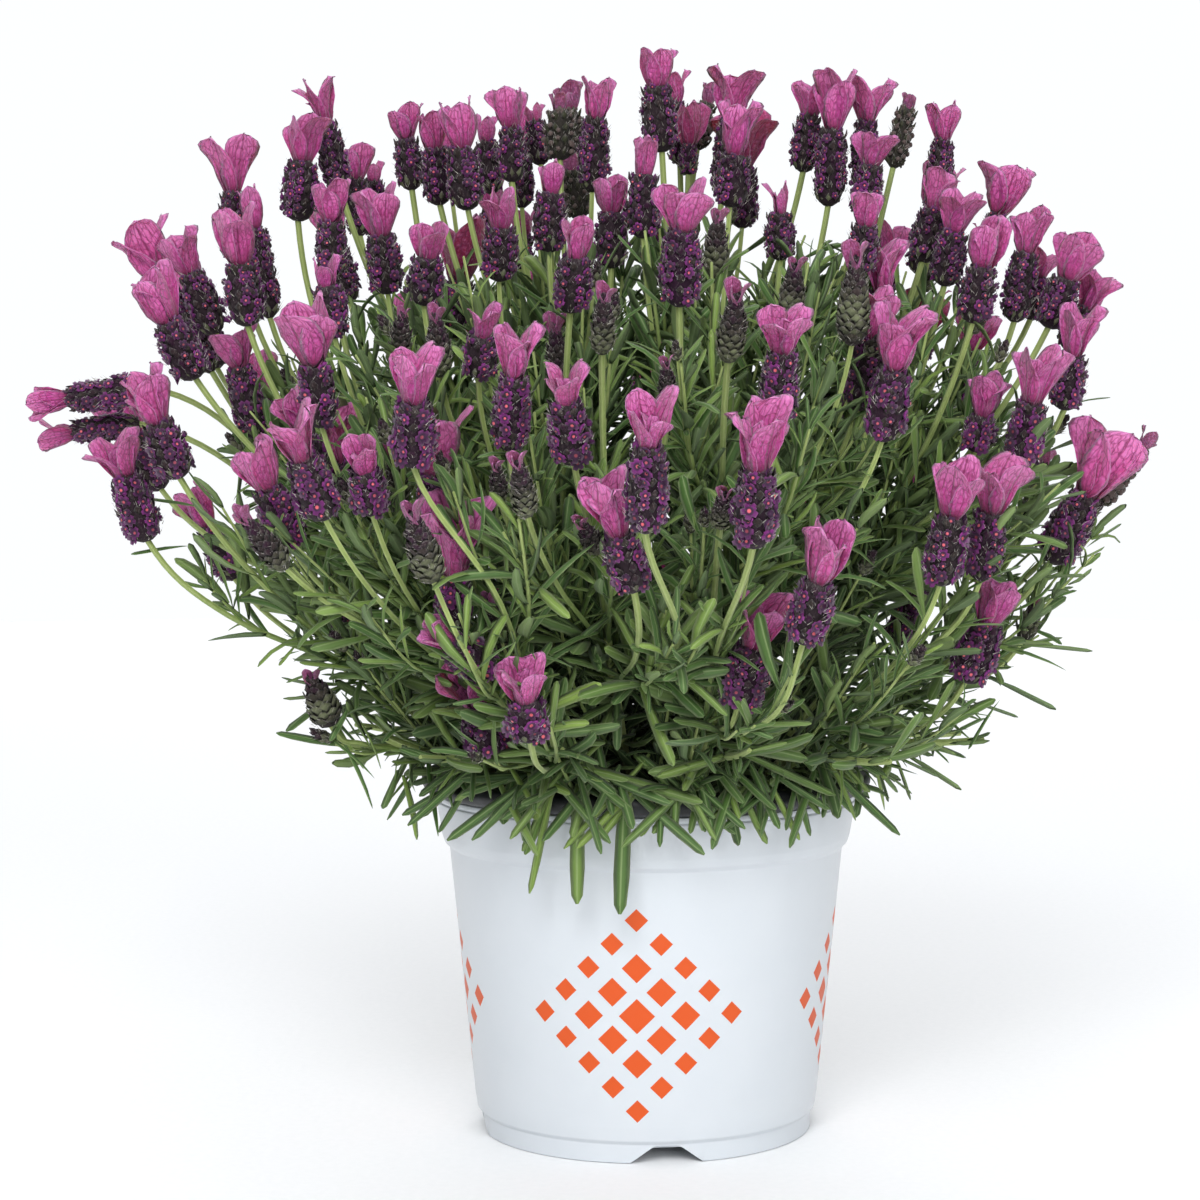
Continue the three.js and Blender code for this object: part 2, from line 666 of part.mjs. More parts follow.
// Sprays of heads on their main stems; a head goes to the next stem where its own can't reach it clear of the rest
function setOutSprays(heads) {
  const ways = stemWays(heads);
  const members = ways.map(() => []);
  heads.forEach((head) => {
    head.order = nearestOf(direction(CROWN, head.foot), ways);
    members[head.order[0]].push(head);
  });
  const sprays = ways.map((way, k) => {
    const total = members[k].reduce((sum, head) => sum + head.foot.distanceTo(CROWN), 0);
    const reach = (SPRAY_FORK * total) / members[k].length;
    const main = mainStem(way, reach);
    const rods = rodsAlong(main, MAIN_STEM_RADIUS);
    const form = { whorls: SPRAY_WHORLS, sink: SPRAY_LEAF_SINK, endLength: FORK_END };
    return { path: main, flowers: [], rods, ownRods: [], ...form };
  });
  heads.forEach((head, i) => joinSpray(head, i, heads, sprays));
  sprays.forEach((spray) => {
    const grown = spray.flowers.flatMap((flower) => headRods(flower.head));
    spray.ownRods.push(...spray.rods.slice(2), ...grown);
    spray.rods.push(...grown);
  });
  return sprays;
}

// A sideways bend that grows with each try
function swerveOf(item, turn) {
  const purposes = [FOR.swerveX, FOR.swerveY, FOR.swerveZ];
  const sides = purposes.map((purpose) => (draw(item, purpose + turn) - 0.5) * turn * SWERVE_STEP);
  return new THREE.Vector3(...sides);
}

function joinSpray(head, i, heads, sprays) {
  const otherHeads = heads.filter((other) => other !== head).flatMap(headRods);
  let best = { room: -Infinity };
  for (const k of head.order.slice(0, SPRAYS_TRIED)) {
    const spray = sprays[k];
    const taken = sprays.filter((other) => other !== spray).flatMap((other) => other.rods);
    for (let turn = 0; turn < SWERVES && best.room < CLEAR; turn += 1) {
      const [, knee, fork] = spray.path;
      const part = (spray.flowers.length * GOLDEN_PART + turn * FORK_SHIFT) % 1;
      const base = knee.clone().lerp(fork, between(FORKS_FROM, FORKS_TO, part));
      const path = flowerStem(head, base, swerveOf(i, turn));
      const rods = rodsAlong(path, FLOWER_STEM_RADIUS);
      const neck = path[2].clone().lerp(path[1], NECK_PART);
      const outer = [rods[0], { from: path[1], to: neck, radius: FLOWER_STEM_RADIUS }];
      const room = Math.min(roomBetween(rods, taken), roomBetween(outer, otherHeads), roomAtPot(rods));
      if (room > best.room) {
        best = { room, spray, path, rods };
      }
    }
    if (best.room >= CLEAR) {
      break;
    }
  }
  best.spray.flowers.push({ head, index: i, path: best.path });
  best.spray.rods.push(...best.rods);
}

// A leaf's places, from the middle of its root on the stem: it leans away from the stem, and its outer half sinks
function leafShape(root, axis, out, length, lean, sink) {
  const across = axis.clone().cross(out);
  const blade = axis.clone().multiplyScalar(Math.cos(lean)).addScaledVector(out, Math.sin(lean));
  const upper = axis.clone().multiplyScalar(Math.sin(lean)).addScaledVector(out, -Math.cos(lean));
  const middle = root.clone().addScaledVector(blade, length * LEAF_BEND);
  const fall = blade.clone().addScaledVector(UP, -sink).normalize();
  const tip = middle.clone().addScaledVector(fall, length * (1 - LEAF_BEND));
  return {
    tip,
    left: middle.clone().addScaledVector(across, -LEAF_WIDTH / 2),
    right: middle.clone().addScaledVector(across, LEAF_WIDTH / 2),
    keel: middle.clone().addScaledVector(upper, -LEAF_THICKNESS),
    rods: [
      { from: root.clone().lerp(middle, LEAF_NECK), to: middle, radius: LEAF_WIDTH / 2 },
      { from: middle, to: tip, radius: LEAF_WIDTH / 3 },
    ],
  };
}

// The first of a few leaf forms that is clear of everything in the other nodes and of the leaves of this stem
function clearLeaf(root, axis, out, stem, seed, taken) {
  for (let turn = 0; turn < LEAF_TRIES; turn += 1) {
    const length = drawn(LEAF_LENGTHS, seed, FOR.leafLength + turn) * (1 - LEAF_SHORTER * turn);
    const lean = THREE.MathUtils.degToRad(drawn(LEAF_LEANS, seed, FOR.leafLean + turn));
    const sink = stem.sink * drawn(LEAF_SINKS, seed, FOR.leafSink + turn);
    const leaf = leafShape(root, axis, out, length, lean, sink);
    const others = roomBetween(leaf.rods, taken);
    const own = roomBetween(leaf.rods.slice(1), stem.ownRods);
    if (Math.min(others, own, roomAtPot(leaf.rods)) > CLEAR) {
      return leaf;
    }
  }
  return null;
}

// A leafy stem's skin along its points. Whorls of four leaves grow out of short lengths of the four-sided stem,
// the first at the knee, each turned an eighth of a turn from the last.
function growStem(stem, taken) {
  const skin = new Skin();
  const [root, knee, end] = stem.path;
  const foot = direction(root, knee);
  const axis = direction(knee, end);
  let side = anySide(foot);
  let last = skin.ring(root, foot, side, MAIN_STEM_RADIUS * ROOT_SWELL, STEM_SIDES);
  skin.closeBelow(last);
  side = carrySide(side, axis);
  stem.whorls.forEach((part, whorl) => {
    const place = knee.clone().lerp(end, part);
    const turn = (whorl % 2) * (Math.PI / STEM_SIDES);
    const radius = MAIN_STEM_RADIUS * between(ROOT_SWELL, STEM_TAPER, part);
    const low = skin.ring(place, axis, side, radius, STEM_SIDES, turn);
    const high = skin.ring(place.clone().addScaledVector(axis, WHORL_HEIGHT), axis, side, radius, STEM_SIDES, turn);
    skin.bridge(last, low);
    growWhorl(skin, low, high, { place, axis, side, turn, radius, whorl }, stem, taken);
    last = high;
  });
  if (stem.flowers.length > 0) {
    const top = skin.ring(end, axis, side, MAIN_STEM_RADIUS, STEM_SIDES);
    skin.bridge(last, top);
    last = top;
  }
  skin.tip(last, end.clone().addScaledVector(axis, stem.endLength));
  return skin.solid();
}

function growWhorl(skin, low, high, at, stem, taken) {
  const across = at.axis.clone().cross(at.side);
  for (let k = 0; k < STEM_SIDES; k += 1) {
    const angle = at.turn + ((k + 0.5) * 2 * Math.PI) / STEM_SIDES;
    const out = at.side.clone().multiplyScalar(Math.cos(angle)).addScaledVector(across, Math.sin(angle));
    const root = at.place.clone().addScaledVector(at.axis, WHORL_HEIGHT / 2);
    root.addScaledVector(out, at.radius * Math.cos(Math.PI / STEM_SIDES));
    const next = (k + 1) % STEM_SIDES;
    const corners = [low.ids[k], low.ids[next], high.ids[next], high.ids[k]];
    const seed = (stem.seed * LEAFY_WHORLS.length + at.whorl) * STEM_SIDES + k;
    const leaf = clearLeaf(root, at.axis, out, stem, seed, taken);
    if (leaf) {
      skin.leaf(corners, leaf);
      stem.ownRods.push(leaf.rods[1]);
      stem.rods.push(...leaf.rods);
    } else {
      skin.face(corners[0], corners[1], corners[2]);
      skin.face(corners[0], corners[2], corners[3]);
    }
  }
}

// One flower: its bare three-sided stem, the spike with its rows of florets as rings that stand out and fall back,
// and the crown of four upright bracts round a hollow, or a pointed end on a bud
function growFlower({ head, index, path }) {
  const skin = new Skin();
  const headAxis = direction(head.foot, head.tip);
  const axes = [direction(path[0], path[1]), direction(path[0], path[2]), headAxis];
  const radii = [FLOWER_STEM_RADIUS * FLOWER_STEM_START, FLOWER_STEM_RADIUS, FLOWER_STEM_RADIUS];
  let side = anySide(axes[0]);
  let last = null;
  path.forEach((place, k) => {
    side = carrySide(side, axes[k]);
    const ring = skin.ring(place, axes[k], side, radii[k], FLOWER_STEM_SIDES);
    if (last === null) {
      skin.closeBelow(ring);
    } else {
      skin.bridge(last, ring);
    }
    last = ring;
  });
  const rings = head.bractPart > 0 ? SPIKE_RINGS : BUD_RINGS;
  for (const [part, width, turned] of rings) {
    const place = head.foot.clone().lerp(head.neck, part);
    const turn = (turned * Math.PI) / SPIKE_SIDES;
    const ring = skin.ring(place, headAxis, side, head.radius * width, SPIKE_SIDES, turn);
    skin.bridge(last, ring);
    last = ring;
  }
  if (head.bractPart > 0) {
    growBracts(skin, last, head, headAxis, side, index);
  } else {
    skin.tip(last, head.tip);
  }
  return skin.solid();
}

function growBracts(skin, rim, head, axis, side, index) {
  const across = axis.clone().cross(side);
  const length = head.neck.distanceTo(head.tip);
  const at = (angle, radius, part) => {
    const place = head.neck.clone().addScaledVector(axis, part * length);
    return place.addScaledVector(side, radius * Math.cos(angle)).addScaledVector(across, radius * Math.sin(angle));
  };
  const count = rim.ids.length;
  const hollow = skin.point(at(0, 0, BRACT_HOLLOW));
  for (let k = 0; k < count; k += 1) {
    const a = rim.ids[k];
    const b = rim.ids[(k + 1) % count];
    const middle = rim.angles[k] + Math.PI / count;
    const half = Math.PI / count - BRACT_PARTING;
    const spread = head.bractRadius * drawn(BRACT_SPREADS, index, FOR.bractSpread + k);
    const rise = drawn(BRACT_RISES, index, FOR.bractRise + k);
    const tipSpread = head.bractRadius * drawn(BRACT_TIP_SPREADS, index, FOR.bractTip + k);
    const tipRise = k === index % count ? 1 : drawn(BRACT_TIP_RISES, index, FOR.bractEnd + k);
    const left = skin.point(at(middle - half, spread, rise));
    const right = skin.point(at(middle + half, spread, rise));
    const tip = skin.point(at(middle, tipSpread, tipRise));
    skin.face(a, b, right);
    skin.face(a, right, left);
    skin.face(left, right, tip);
    skin.face(tip, right, hollow);
    skin.face(left, tip, hollow);
    skin.face(right, b, hollow);
    skin.face(a, left, hollow);
  }
}

// A leafy stem without flowers: it rises from the soil, passes over the lip and hangs outwards
function lowStem(k, nudge) {
  const azimuth = ((k + 0.5 + nudge) * 2 * Math.PI) / LOW_STEMS;
  const at = (away, height) => new THREE.Vector3(away * Math.cos(azimuth), away * Math.sin(azimuth), height);
  const root = at(LOW_ROOT_RADIUS, SOIL_CROWN_HEIGHT - ROOTED_DEPTH);
  const knee = at(LOW_KNEE_RADIUS, LOW_KNEE_HEIGHT);
  return [root, knee, at(drawn(LOW_REACHES, k, FOR.lowReach), drawn(LOW_HEIGHTS, k, FOR.lowHeight))];
}

// A leafy stem without flowers that stands in the plant, between the sprays
function innerStem(k, nudge) {
  const part = (k + 0.5) / INNER_STEMS;
  const azimuth = k * GOLDEN_ANGLE + nudge;
  const slope = THREE.MathUtils.degToRad(between(...INNER_SLOPES, part));
  const way = new THREE.Vector3().setFromSphericalCoords(1, slope, azimuth);
  return mainStem(new THREE.Vector3(way.z, way.x, way.y), between(...INNER_REACHES, part));
}

function setOutLeafyStems(sprays) {
  const stems = [];
  const taken = sprays.flatMap((spray) => spray.rods);
  const settle = (make, k, size) => {
    for (let turn = 0; turn < STEM_TRIES; turn += 1) {
      const nudge = size * (draw(k, FOR.stemNudge + turn) - 0.5) * turn;
      const path = make(k, nudge);
      const rods = rodsAlong(path, MAIN_STEM_RADIUS);
      if (roomBetween(rods, taken) > CLEAR) {
        const form = { whorls: LEAFY_WHORLS, sink: LEAFY_LEAF_SINK, endLength: LEAFY_END };
        stems.push({ path, rods, flowers: [], ownRods: [], ...form });
        taken.push(...rods);
        return;
      }
    }
  };
  for (let k = 0; k < LOW_STEMS; k += 1) {
    settle(lowStem, k, LOW_NUDGE);
  }
  for (let k = 0; k < INNER_STEMS; k += 1) {
    settle(innerStem, k, INNER_NUDGE);
  }
  return stems;
}

// Joins solids that grow from each other. Slivers and closed pockets at the joints are dropped.
function fuse(solids) {
  const whole = solids.reduce((sum, solid) => sum.add(solid)).simplify(JOINT_DETAIL);
  const pieces = whole.decompose().filter((piece) => piece.volume() > SLIVER_VOLUME);
  return pieces.reduce((sum, piece) => sum.add(piece));
}

function geometryOf(solid) {
  const mesh = solid.getMesh();
  const geometry = new THREE.BufferGeometry();
  geometry.setAttribute('position', new THREE.BufferAttribute(Float32Array.from(mesh.vertProperties), 3));
  geometry.setIndex(Array.from(mesh.triVerts));
  return geometry;
}

function solidOf(geometry) {
  geometry.deleteAttribute('normal');
  geometry.deleteAttribute('uv');
  const merged = mergeVertices(geometry, 1e-4);
  const mesh = new wasm.Mesh({
    numProp: 3,
    vertProperties: merged.attributes.position.array,
    triVerts: Uint32Array.from(merged.index.array),
  });
  return new wasm.Manifold(mesh);
}

// A round piece from its outline of [radius, height] points
function turned(outline) {
  const points = outline.map(([radius, height]) => new THREE.Vector2(radius, height));
  const geometry = new THREE.LatheGeometry(points, POT_SIDES);
  geometry.rotateX(Math.PI / 2);
  return solidOf(geometry);
}

function drainHole(azimuth) {
  const hole = new THREE.CylinderGeometry(DRAIN_HOLE_RADIUS, DRAIN_HOLE_RADIUS, DRAIN_HOLE_DEPTH, DRAIN_HOLE_SIDES);
  hole.rotateX(Math.PI / 2);
  hole.translate(DRAIN_HOLE_CIRCLE * Math.cos(azimuth), DRAIN_HOLE_CIRCLE * Math.sin(azimuth), 0);
  return solidOf(hole);
}

// Holes through a floor, a quarter of a turn apart, the first at the azimuth
function drainHoles(azimuth) {
  const holes = [];
  for (let k = 0; k < DRAIN_HOLES; k += 1) {
    holes.push(drainHole(azimuth + (k * 2 * Math.PI) / DRAIN_HOLES));
  }
  return holes.reduce((sum, hole) => sum.add(hole));
}

// A notch of the foot, narrower above, through which water runs off
function footNotch(azimuth) {
  const outline = new THREE.Shape([
    new THREE.Vector2(-NOTCH_BOTTOM_WIDTH / 2, -1),
    new THREE.Vector2(NOTCH_BOTTOM_WIDTH / 2, -1),
    new THREE.Vector2(NOTCH_TOP_WIDTH / 2, NOTCH_HEIGHT),
    new THREE.Vector2(-NOTCH_TOP_WIDTH / 2, NOTCH_HEIGHT),
  ]);
  const notch = new THREE.ExtrudeGeometry(outline, { depth: NOTCH_DEPTH, bevelEnabled: false, steps: 1 });
  notch.rotateX(Math.PI / 2);
  notch.rotateZ(Math.PI / 2);
  notch.translate(NOTCH_INNER_RADIUS, 0, 0);
  notch.rotateZ(azimuth);
  return solidOf(notch);
}

function footNotches() {
  const notches = [];
  for (let k = 0; k < FOOT_NOTCHES; k += 1) {
    notches.push(footNotch(NOTCH_TURN + (k * 2 * Math.PI) / FOOT_NOTCHES));
  }
  return notches.reduce((sum, notch) => sum.add(notch));
}

// White pot: foot ring with notches, tapering wall, step, and collar with a fine groove under its edge
function outerPot() {
  const groove = POT_HEIGHT - GROOVE_DROP;
  const body = turned([
    [0, FOOT_HEIGHT - POT_FLOOR],
    [FOOT_RADIUS - FOOT_WIDTH, FOOT_HEIGHT - POT_FLOOR],
    [FOOT_RADIUS - FOOT_WIDTH, 0],
    [FOOT_RADIUS, 0],
    [FOOT_RADIUS, FOOT_HEIGHT],
    [WALL_FOOT_RADIUS - SHOULDER_INSET, FOOT_HEIGHT + SHOULDER_RISE],
    [WALL_FOOT_RADIUS, WALL_FOOT_HEIGHT],
    [STEP_RADIUS, STEP_HEIGHT],
    [COLLAR_FOOT_RADIUS, COLLAR_FOOT_HEIGHT],
    [POT_RIM_RADIUS, groove - GROOVE_HALF_WIDTH],
    [POT_RIM_RADIUS - GROOVE_DEPTH, groove],
    [POT_RIM_RADIUS, groove + GROOVE_HALF_WIDTH],
    [POT_RIM_RADIUS, POT_HEIGHT],
    [POT_RIM_RADIUS - POT_WALL, POT_HEIGHT],
    [COLLAR_FOOT_RADIUS - POT_WALL, COLLAR_FOOT_HEIGHT],
    [STEP_RADIUS - POT_WALL, STEP_HEIGHT],
    [WALL_FOOT_RADIUS - POT_WALL, WALL_FOOT_HEIGHT],
    [WALL_FOOT_RADIUS - POT_WALL - POT_FLOOR_INSET, FOOT_HEIGHT],
    [0, FOOT_HEIGHT],
  ]);
  return body.subtract(drainHoles(Math.PI / DRAIN_HOLES)).subtract(footNotches());
}

// Radius of the liner's outer wall at a height: within the white pot's wall below the step, and straight on above it
function linerRadius(height) {
  const slope = (STEP_RADIUS - WALL_FOOT_RADIUS) / (STEP_HEIGHT - WALL_FOOT_HEIGHT);
  return WALL_FOOT_RADIUS - POT_WALL - NESTING_GAP + slope * (height - WALL_FOOT_HEIGHT);
}

// Black pot: its rolled lip rests on the white pot's edge
function innerPot() {
  const floor = FOOT_HEIGHT + NESTING_GAP;
  const floorRadius = linerRadius(floor) - LINER_FLOOR_INSET;
  const lipFoot = POT_HEIGHT + LIP_FOOT_GAP;
  const neckRadius = linerRadius(lipFoot);
  const body = turned([
    [0, floor],
    [floorRadius, floor],
    [linerRadius(WALL_FOOT_HEIGHT), WALL_FOOT_HEIGHT],
    [neckRadius, lipFoot - LINER_NECK_DROP],
    [neckRadius + LINER_NECK_FLARE, lipFoot],
    [LIP_FOOT_RADIUS, lipFoot],
    ...LIP_ROLL.map(([radius, rise]) => [radius, lipFoot + rise]),
    [LIP_INNER_RADIUS + LIP_INNER_EDGE, LIP_TOP],
    [LIP_INNER_RADIUS, LIP_TOP - LIP_INNER_EDGE],
    [neckRadius - LINER_WALL, lipFoot - LINER_NECK_DROP],
    [linerRadius(WALL_FOOT_HEIGHT) - LINER_WALL, WALL_FOOT_HEIGHT],
    [floorRadius - LINER_WALL, floor + LINER_WALL],
    [0, floor + LINER_WALL],
  ]);
  return body.subtract(drainHoles(0));
}

// Potting mix, with a plain hole for each stem that stands in it
function pottingSoil(stems) {
  const floor = FOOT_HEIGHT + NESTING_GAP + LINER_WALL + SOIL_GAP;
  const soilRadius = (height) => linerRadius(height) - LINER_WALL - SOIL_GAP;
  const body = turned([
    [0, floor],
    [soilRadius(floor) - SOIL_FLOOR_INSET, floor],
    [soilRadius(WALL_FOOT_HEIGHT), WALL_FOOT_HEIGHT],
    [soilRadius(SOIL_EDGE_HEIGHT), SOIL_EDGE_HEIGHT],
    [SOIL_CROWN_RADIUS, SOIL_CROWN_HEIGHT],
    [0, SOIL_CROWN_HEIGHT],
  ]);
  const holes = stems.map((stem) => stemHole(stem.path));
  return body.subtract(holes.reduce((sum, hole) => sum.add(hole)));
}

// A blind hole, four-sided as the stem in it, along the way from the root to the knee
function stemHole([root, knee]) {
  const axis = direction(root, knee);
  const side = anySide(axis);
  const radius = MAIN_STEM_RADIUS * ROOT_SWELL + STEM_ROOM / Math.cos(Math.PI / STEM_SIDES);
  const skin = new Skin();
  const low = skin.ring(root.clone().addScaledVector(axis, -STEM_ROOM), axis, side, radius, STEM_SIDES);
  const high = skin.ring(root.clone().addScaledVector(axis, SOIL_HOLE_LENGTH), axis, side, radius, STEM_SIDES);
  skin.closeBelow(low);
  skin.bridge(low, high);
  skin.closeAbove(high);
  return skin.solid();
}

function add(group, name, solid, material) {
  const mesh = new THREE.Mesh(geometryOf(solid.translate(POT_AXIS.x, POT_AXIS.y, 0)), material);
  mesh.name = name;
  group.add(mesh);
}

function numbered(name, k) {
  return `${name}_${String(k + 1).padStart(2, '0')}`;
}

const heads = setOutHeads();
const sprays = setOutSprays(heads).filter((spray) => spray.flowers.length > 0);
const leafyStems = setOutLeafyStems(sprays);
const stems = [...sprays, ...leafyStems];
stems.forEach((stem, k) => {
  stem.seed = k + 1;
});

const lavender = new THREE.Group();
add(lavender, 'outer_pot', outerPot(), WHITE);
add(lavender, 'inner_pot', innerPot(), BLACK);
add(lavender, 'potting_soil', pottingSoil(stems), SOIL);
stems.forEach((stem, k) => {
  const taken = stems.filter((other) => other !== stem).flatMap((other) => other.rods);
  const solid = fuse([growStem(stem, taken), ...stem.flowers.map(growFlower)]);
  if (k < sprays.length) {
    add(lavender, numbered('flowering_spray', k), solid, PURPLE);
  } else {
    add(lavender, numbered('leafy_stem', k - sprays.length), solid, GREEN);
  }
});

export default lavender;
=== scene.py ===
import math
import bpy
import bmesh
import numpy as np
from mathutils import Matrix, Vector, noise


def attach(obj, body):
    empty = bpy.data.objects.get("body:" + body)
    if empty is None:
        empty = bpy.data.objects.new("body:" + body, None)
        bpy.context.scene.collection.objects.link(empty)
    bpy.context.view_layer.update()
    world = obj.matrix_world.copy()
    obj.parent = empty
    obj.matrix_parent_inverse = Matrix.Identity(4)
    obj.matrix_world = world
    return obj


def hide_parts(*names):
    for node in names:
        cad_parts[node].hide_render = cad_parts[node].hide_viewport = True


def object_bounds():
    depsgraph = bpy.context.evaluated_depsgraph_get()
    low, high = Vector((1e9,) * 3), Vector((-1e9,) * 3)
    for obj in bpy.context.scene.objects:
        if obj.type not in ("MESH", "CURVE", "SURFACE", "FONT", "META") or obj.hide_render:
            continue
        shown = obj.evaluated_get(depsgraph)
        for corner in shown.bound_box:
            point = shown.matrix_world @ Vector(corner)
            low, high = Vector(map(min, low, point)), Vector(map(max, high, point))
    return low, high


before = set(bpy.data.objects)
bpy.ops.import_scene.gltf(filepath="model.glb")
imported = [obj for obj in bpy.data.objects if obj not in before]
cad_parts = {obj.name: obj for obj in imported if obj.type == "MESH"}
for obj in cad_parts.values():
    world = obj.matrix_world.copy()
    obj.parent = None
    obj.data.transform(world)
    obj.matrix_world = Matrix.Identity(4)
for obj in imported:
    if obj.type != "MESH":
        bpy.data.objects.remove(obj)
cad_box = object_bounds()

# Studio. The pot stands on a pale floor before a white backdrop, under a bright ceiling, with large soft
# lamps before it and behind it. The camera looks at it from 1.2 m in front, a little above the rim.
MM = 0.001
POT_AXIS = np.array((22.0, 15.7, 0.0)) * MM
CAMERA_DISTANCE = 1.2
CAMERA_HEIGHT = 0.296
AIM_HEIGHT = 0.2214
FOCAL_PIXELS = 2871
PICTURE_PIXELS = 1200
AXIS_COLUMN = 646
SENSOR = 36
FLOOR_RADIUS = 3.2
FLOOR_SIDES = 64
FLOOR_DROP = 0.0002
SKY = (0.96, 0.98, 1.0, 1)
TENT_GLOW = 0.24
SIDE_SHADE = 0.95
SHADED_SIDES = (0.4, 0.95)
TOP_GLOW = 0.7
GLOWING_TOP = (-0.1, 1.0)
BACKDROP_GLOW = 1.03
FLOOR_TONE = (0.9, 0.91, 0.92, 1)
FLOOR_WHITE = (0.97, 0.97, 0.98, 1)
# The place, width and power of each lamp
LAMPS = [((-0.3, -1.9, 1.5), 0.9, 27), ((0.7, -1.9, 0.9), 1.0, 14), ((0.0, 3.2, 2.6), 3.0, 50)]
LAMP_AIM = (0, 0, 0.22)


def add_object(name, data):
    """Puts a mesh, a lamp or the camera into the scene"""
    made = bpy.data.objects.new(name, data)
    bpy.context.scene.collection.objects.link(made)
    return made


def stand(made, place, target):
    """Puts a lamp or the camera at a place, turned to its target"""
    made.location = place
    made.rotation_euler = (Vector(target) - Vector(place)).to_track_quat("-Z", "Y").to_euler()


class Wire:
    """An output in a tree of nodes. Arithmetic on it adds Math or Vector Math nodes to the tree."""

    def __init__(self, tree, socket=None):
        self.tree = tree
        self.socket = socket

    def node(self, kind, settings={}, sockets={}, out=0):
        """Adds a node of a kind, with its settings and the values or wires of its sockets"""
        made = self.tree.nodes.new(kind)
        for name, value in settings.items():
            setattr(made, name, value)
        for key, value in sockets.items():
            self.feed(made.inputs[key], value)
        return Wire(self.tree, made.outputs[out])

    def feed(self, target, value):
        """Links a wire to a socket, or sets the socket's own value"""
        if isinstance(value, Wire):
            self.tree.links.new(value.socket, target)
        elif target.type == "VECTOR" and isinstance(value, (int, float)):
            target.default_value = (value, value, value)
        else:
            target.default_value = value

    def worked(self, operation, *values):
        """A Math node on numbers, or a Vector Math node where one of the wires is a vector"""
        wide = any(isinstance(v, Wire) and v.socket.type in ("VECTOR", "RGBA") for v in values)
        kind = "ShaderNodeVectorMath" if wide else "ShaderNodeMath"
        return self.node(kind, {"operation": operation}, dict(enumerate(values)))

    def __add__(self, other):
        return self.worked("ADD", self, other)

    def __radd__(self, other):
        return self.worked("ADD", other, self)

    def __sub__(self, other):
        return self.worked("SUBTRACT", self, other)

    def __rsub__(self, other):
        return self.worked("SUBTRACT", other, self)

    def __mul__(self, other):
        return self.worked("MULTIPLY", self, other)

    def __rmul__(self, other):
        return self.worked("MULTIPLY", other, self)

    def __truediv__(self, other):
        return self.worked("DIVIDE", self, other)

    def __lt__(self, other):
        return self.worked("LESS_THAN", self, other)

    def __gt__(self, other):
        return self.worked("GREATER_THAN", self, other)

    def of(self, operation):
        """A Math node with this wire alone, such as its absolute value or its sine"""
        return self.worked(operation, self)

    def least(self, other):
        return self.worked("MINIMUM", self, other)

    def most(self, other):
        return self.worked("MAXIMUM", self, other)

    def parts(self):
        """The x, y and z of a vector"""
        return [self.node("ShaderNodeSeparateXYZ", {}, {0: self}, out=k) for k in range(3)]

    def grade(self, low, high):
        """0 below a low value, 1 above a high one, and a smooth step between them"""
        settings = {"interpolation_type": "SMOOTHSTEP"}
        return self.node("ShaderNodeMapRange", settings, {0: self, 1: low, 2: high})

    def tones(self, low, high):
        """From one colour to another as this wire goes from 0 to 1"""
        return self.node("ShaderNodeMix", {"data_type": "RGBA"}, {0: self, 6: low, 7: high}, out=2)

    def noise(self, scale, detail=3.0, roughness=0.55):
        """Cloudy noise at this wire's place"""
        sockets = {"Vector": self, "Scale": scale, "Detail": detail, "Roughness": roughness}
        return self.node("ShaderNodeTexNoise", {}, sockets)

    def attribute(self, name):
        return self.node("ShaderNodeAttribute", {"attribute_name": name}, out="Fac")

    def place(self):
        """The place of a point in the frame"""
        return self.node("ShaderNodeTexCoord", out="Object")

    def own_map(self):
        """The place of a point on its own piece: across it and along it"""
        return self.node("ShaderNodeUVMap", {"uv_map": "piece"}).parts()[:2]

    def bump(self, strength, distance):
        """The normal of a surface whose height is this wire"""
        return self.node("ShaderNodeBump", {}, {"Strength": strength, "Distance": distance, "Height": self})


def paint(wire, **parts):
    """Feeds numbers and wires into the sockets of a material's shader"""
    shader = wire.tree.nodes["Principled BSDF"]
    for name, value in parts.items():
        wire.feed(shader.inputs[name.replace("_", " ")], value)


def new_finish(name, **even):
    """A material of one shader, with the values that are the same all over. Gives the material and a wire."""
    made = bpy.data.materials.new(name)
    made.use_nodes = True
    wire = Wire(made.node_tree)
    paint(wire, **even)
    return made, wire


camera = add_object("camera", bpy.data.cameras.new("camera"))
camera.data.sensor_width = SENSOR
camera.data.lens = FOCAL_PIXELS / PICTURE_PIXELS * SENSOR
camera.data.shift_x = (PICTURE_PIXELS / 2 - AXIS_COLUMN) / PICTURE_PIXELS
stand(camera, (POT_AXIS[0], POT_AXIS[1] - CAMERA_DISTANCE, CAMERA_HEIGHT),
      (POT_AXIS[0], POT_AXIS[1], AIM_HEIGHT))
bpy.context.scene.camera = camera
bpy.context.scene.view_settings.view_transform = "Standard"

floor_mesh = bpy.data.meshes.new("floor")
floor_angles = [k * 2 * math.pi / FLOOR_SIDES for k in range(FLOOR_SIDES)]
floor_rim = [(FLOOR_RADIUS * math.cos(a), FLOOR_RADIUS * math.sin(a), -FLOOR_DROP) for a in floor_angles]
floor_mesh.from_pydata(floor_rim, [], [list(range(FLOOR_SIDES))])
floor = add_object("floor", floor_mesh)
floor_finish, wire = new_finish("floor_paper", Roughness=0.9)
fibre = wire.place().noise(300.0)
paint(wire, Base_Color=fibre.tones(FLOOR_TONE, FLOOR_WHITE))
floor_mesh.materials.append(floor_finish)

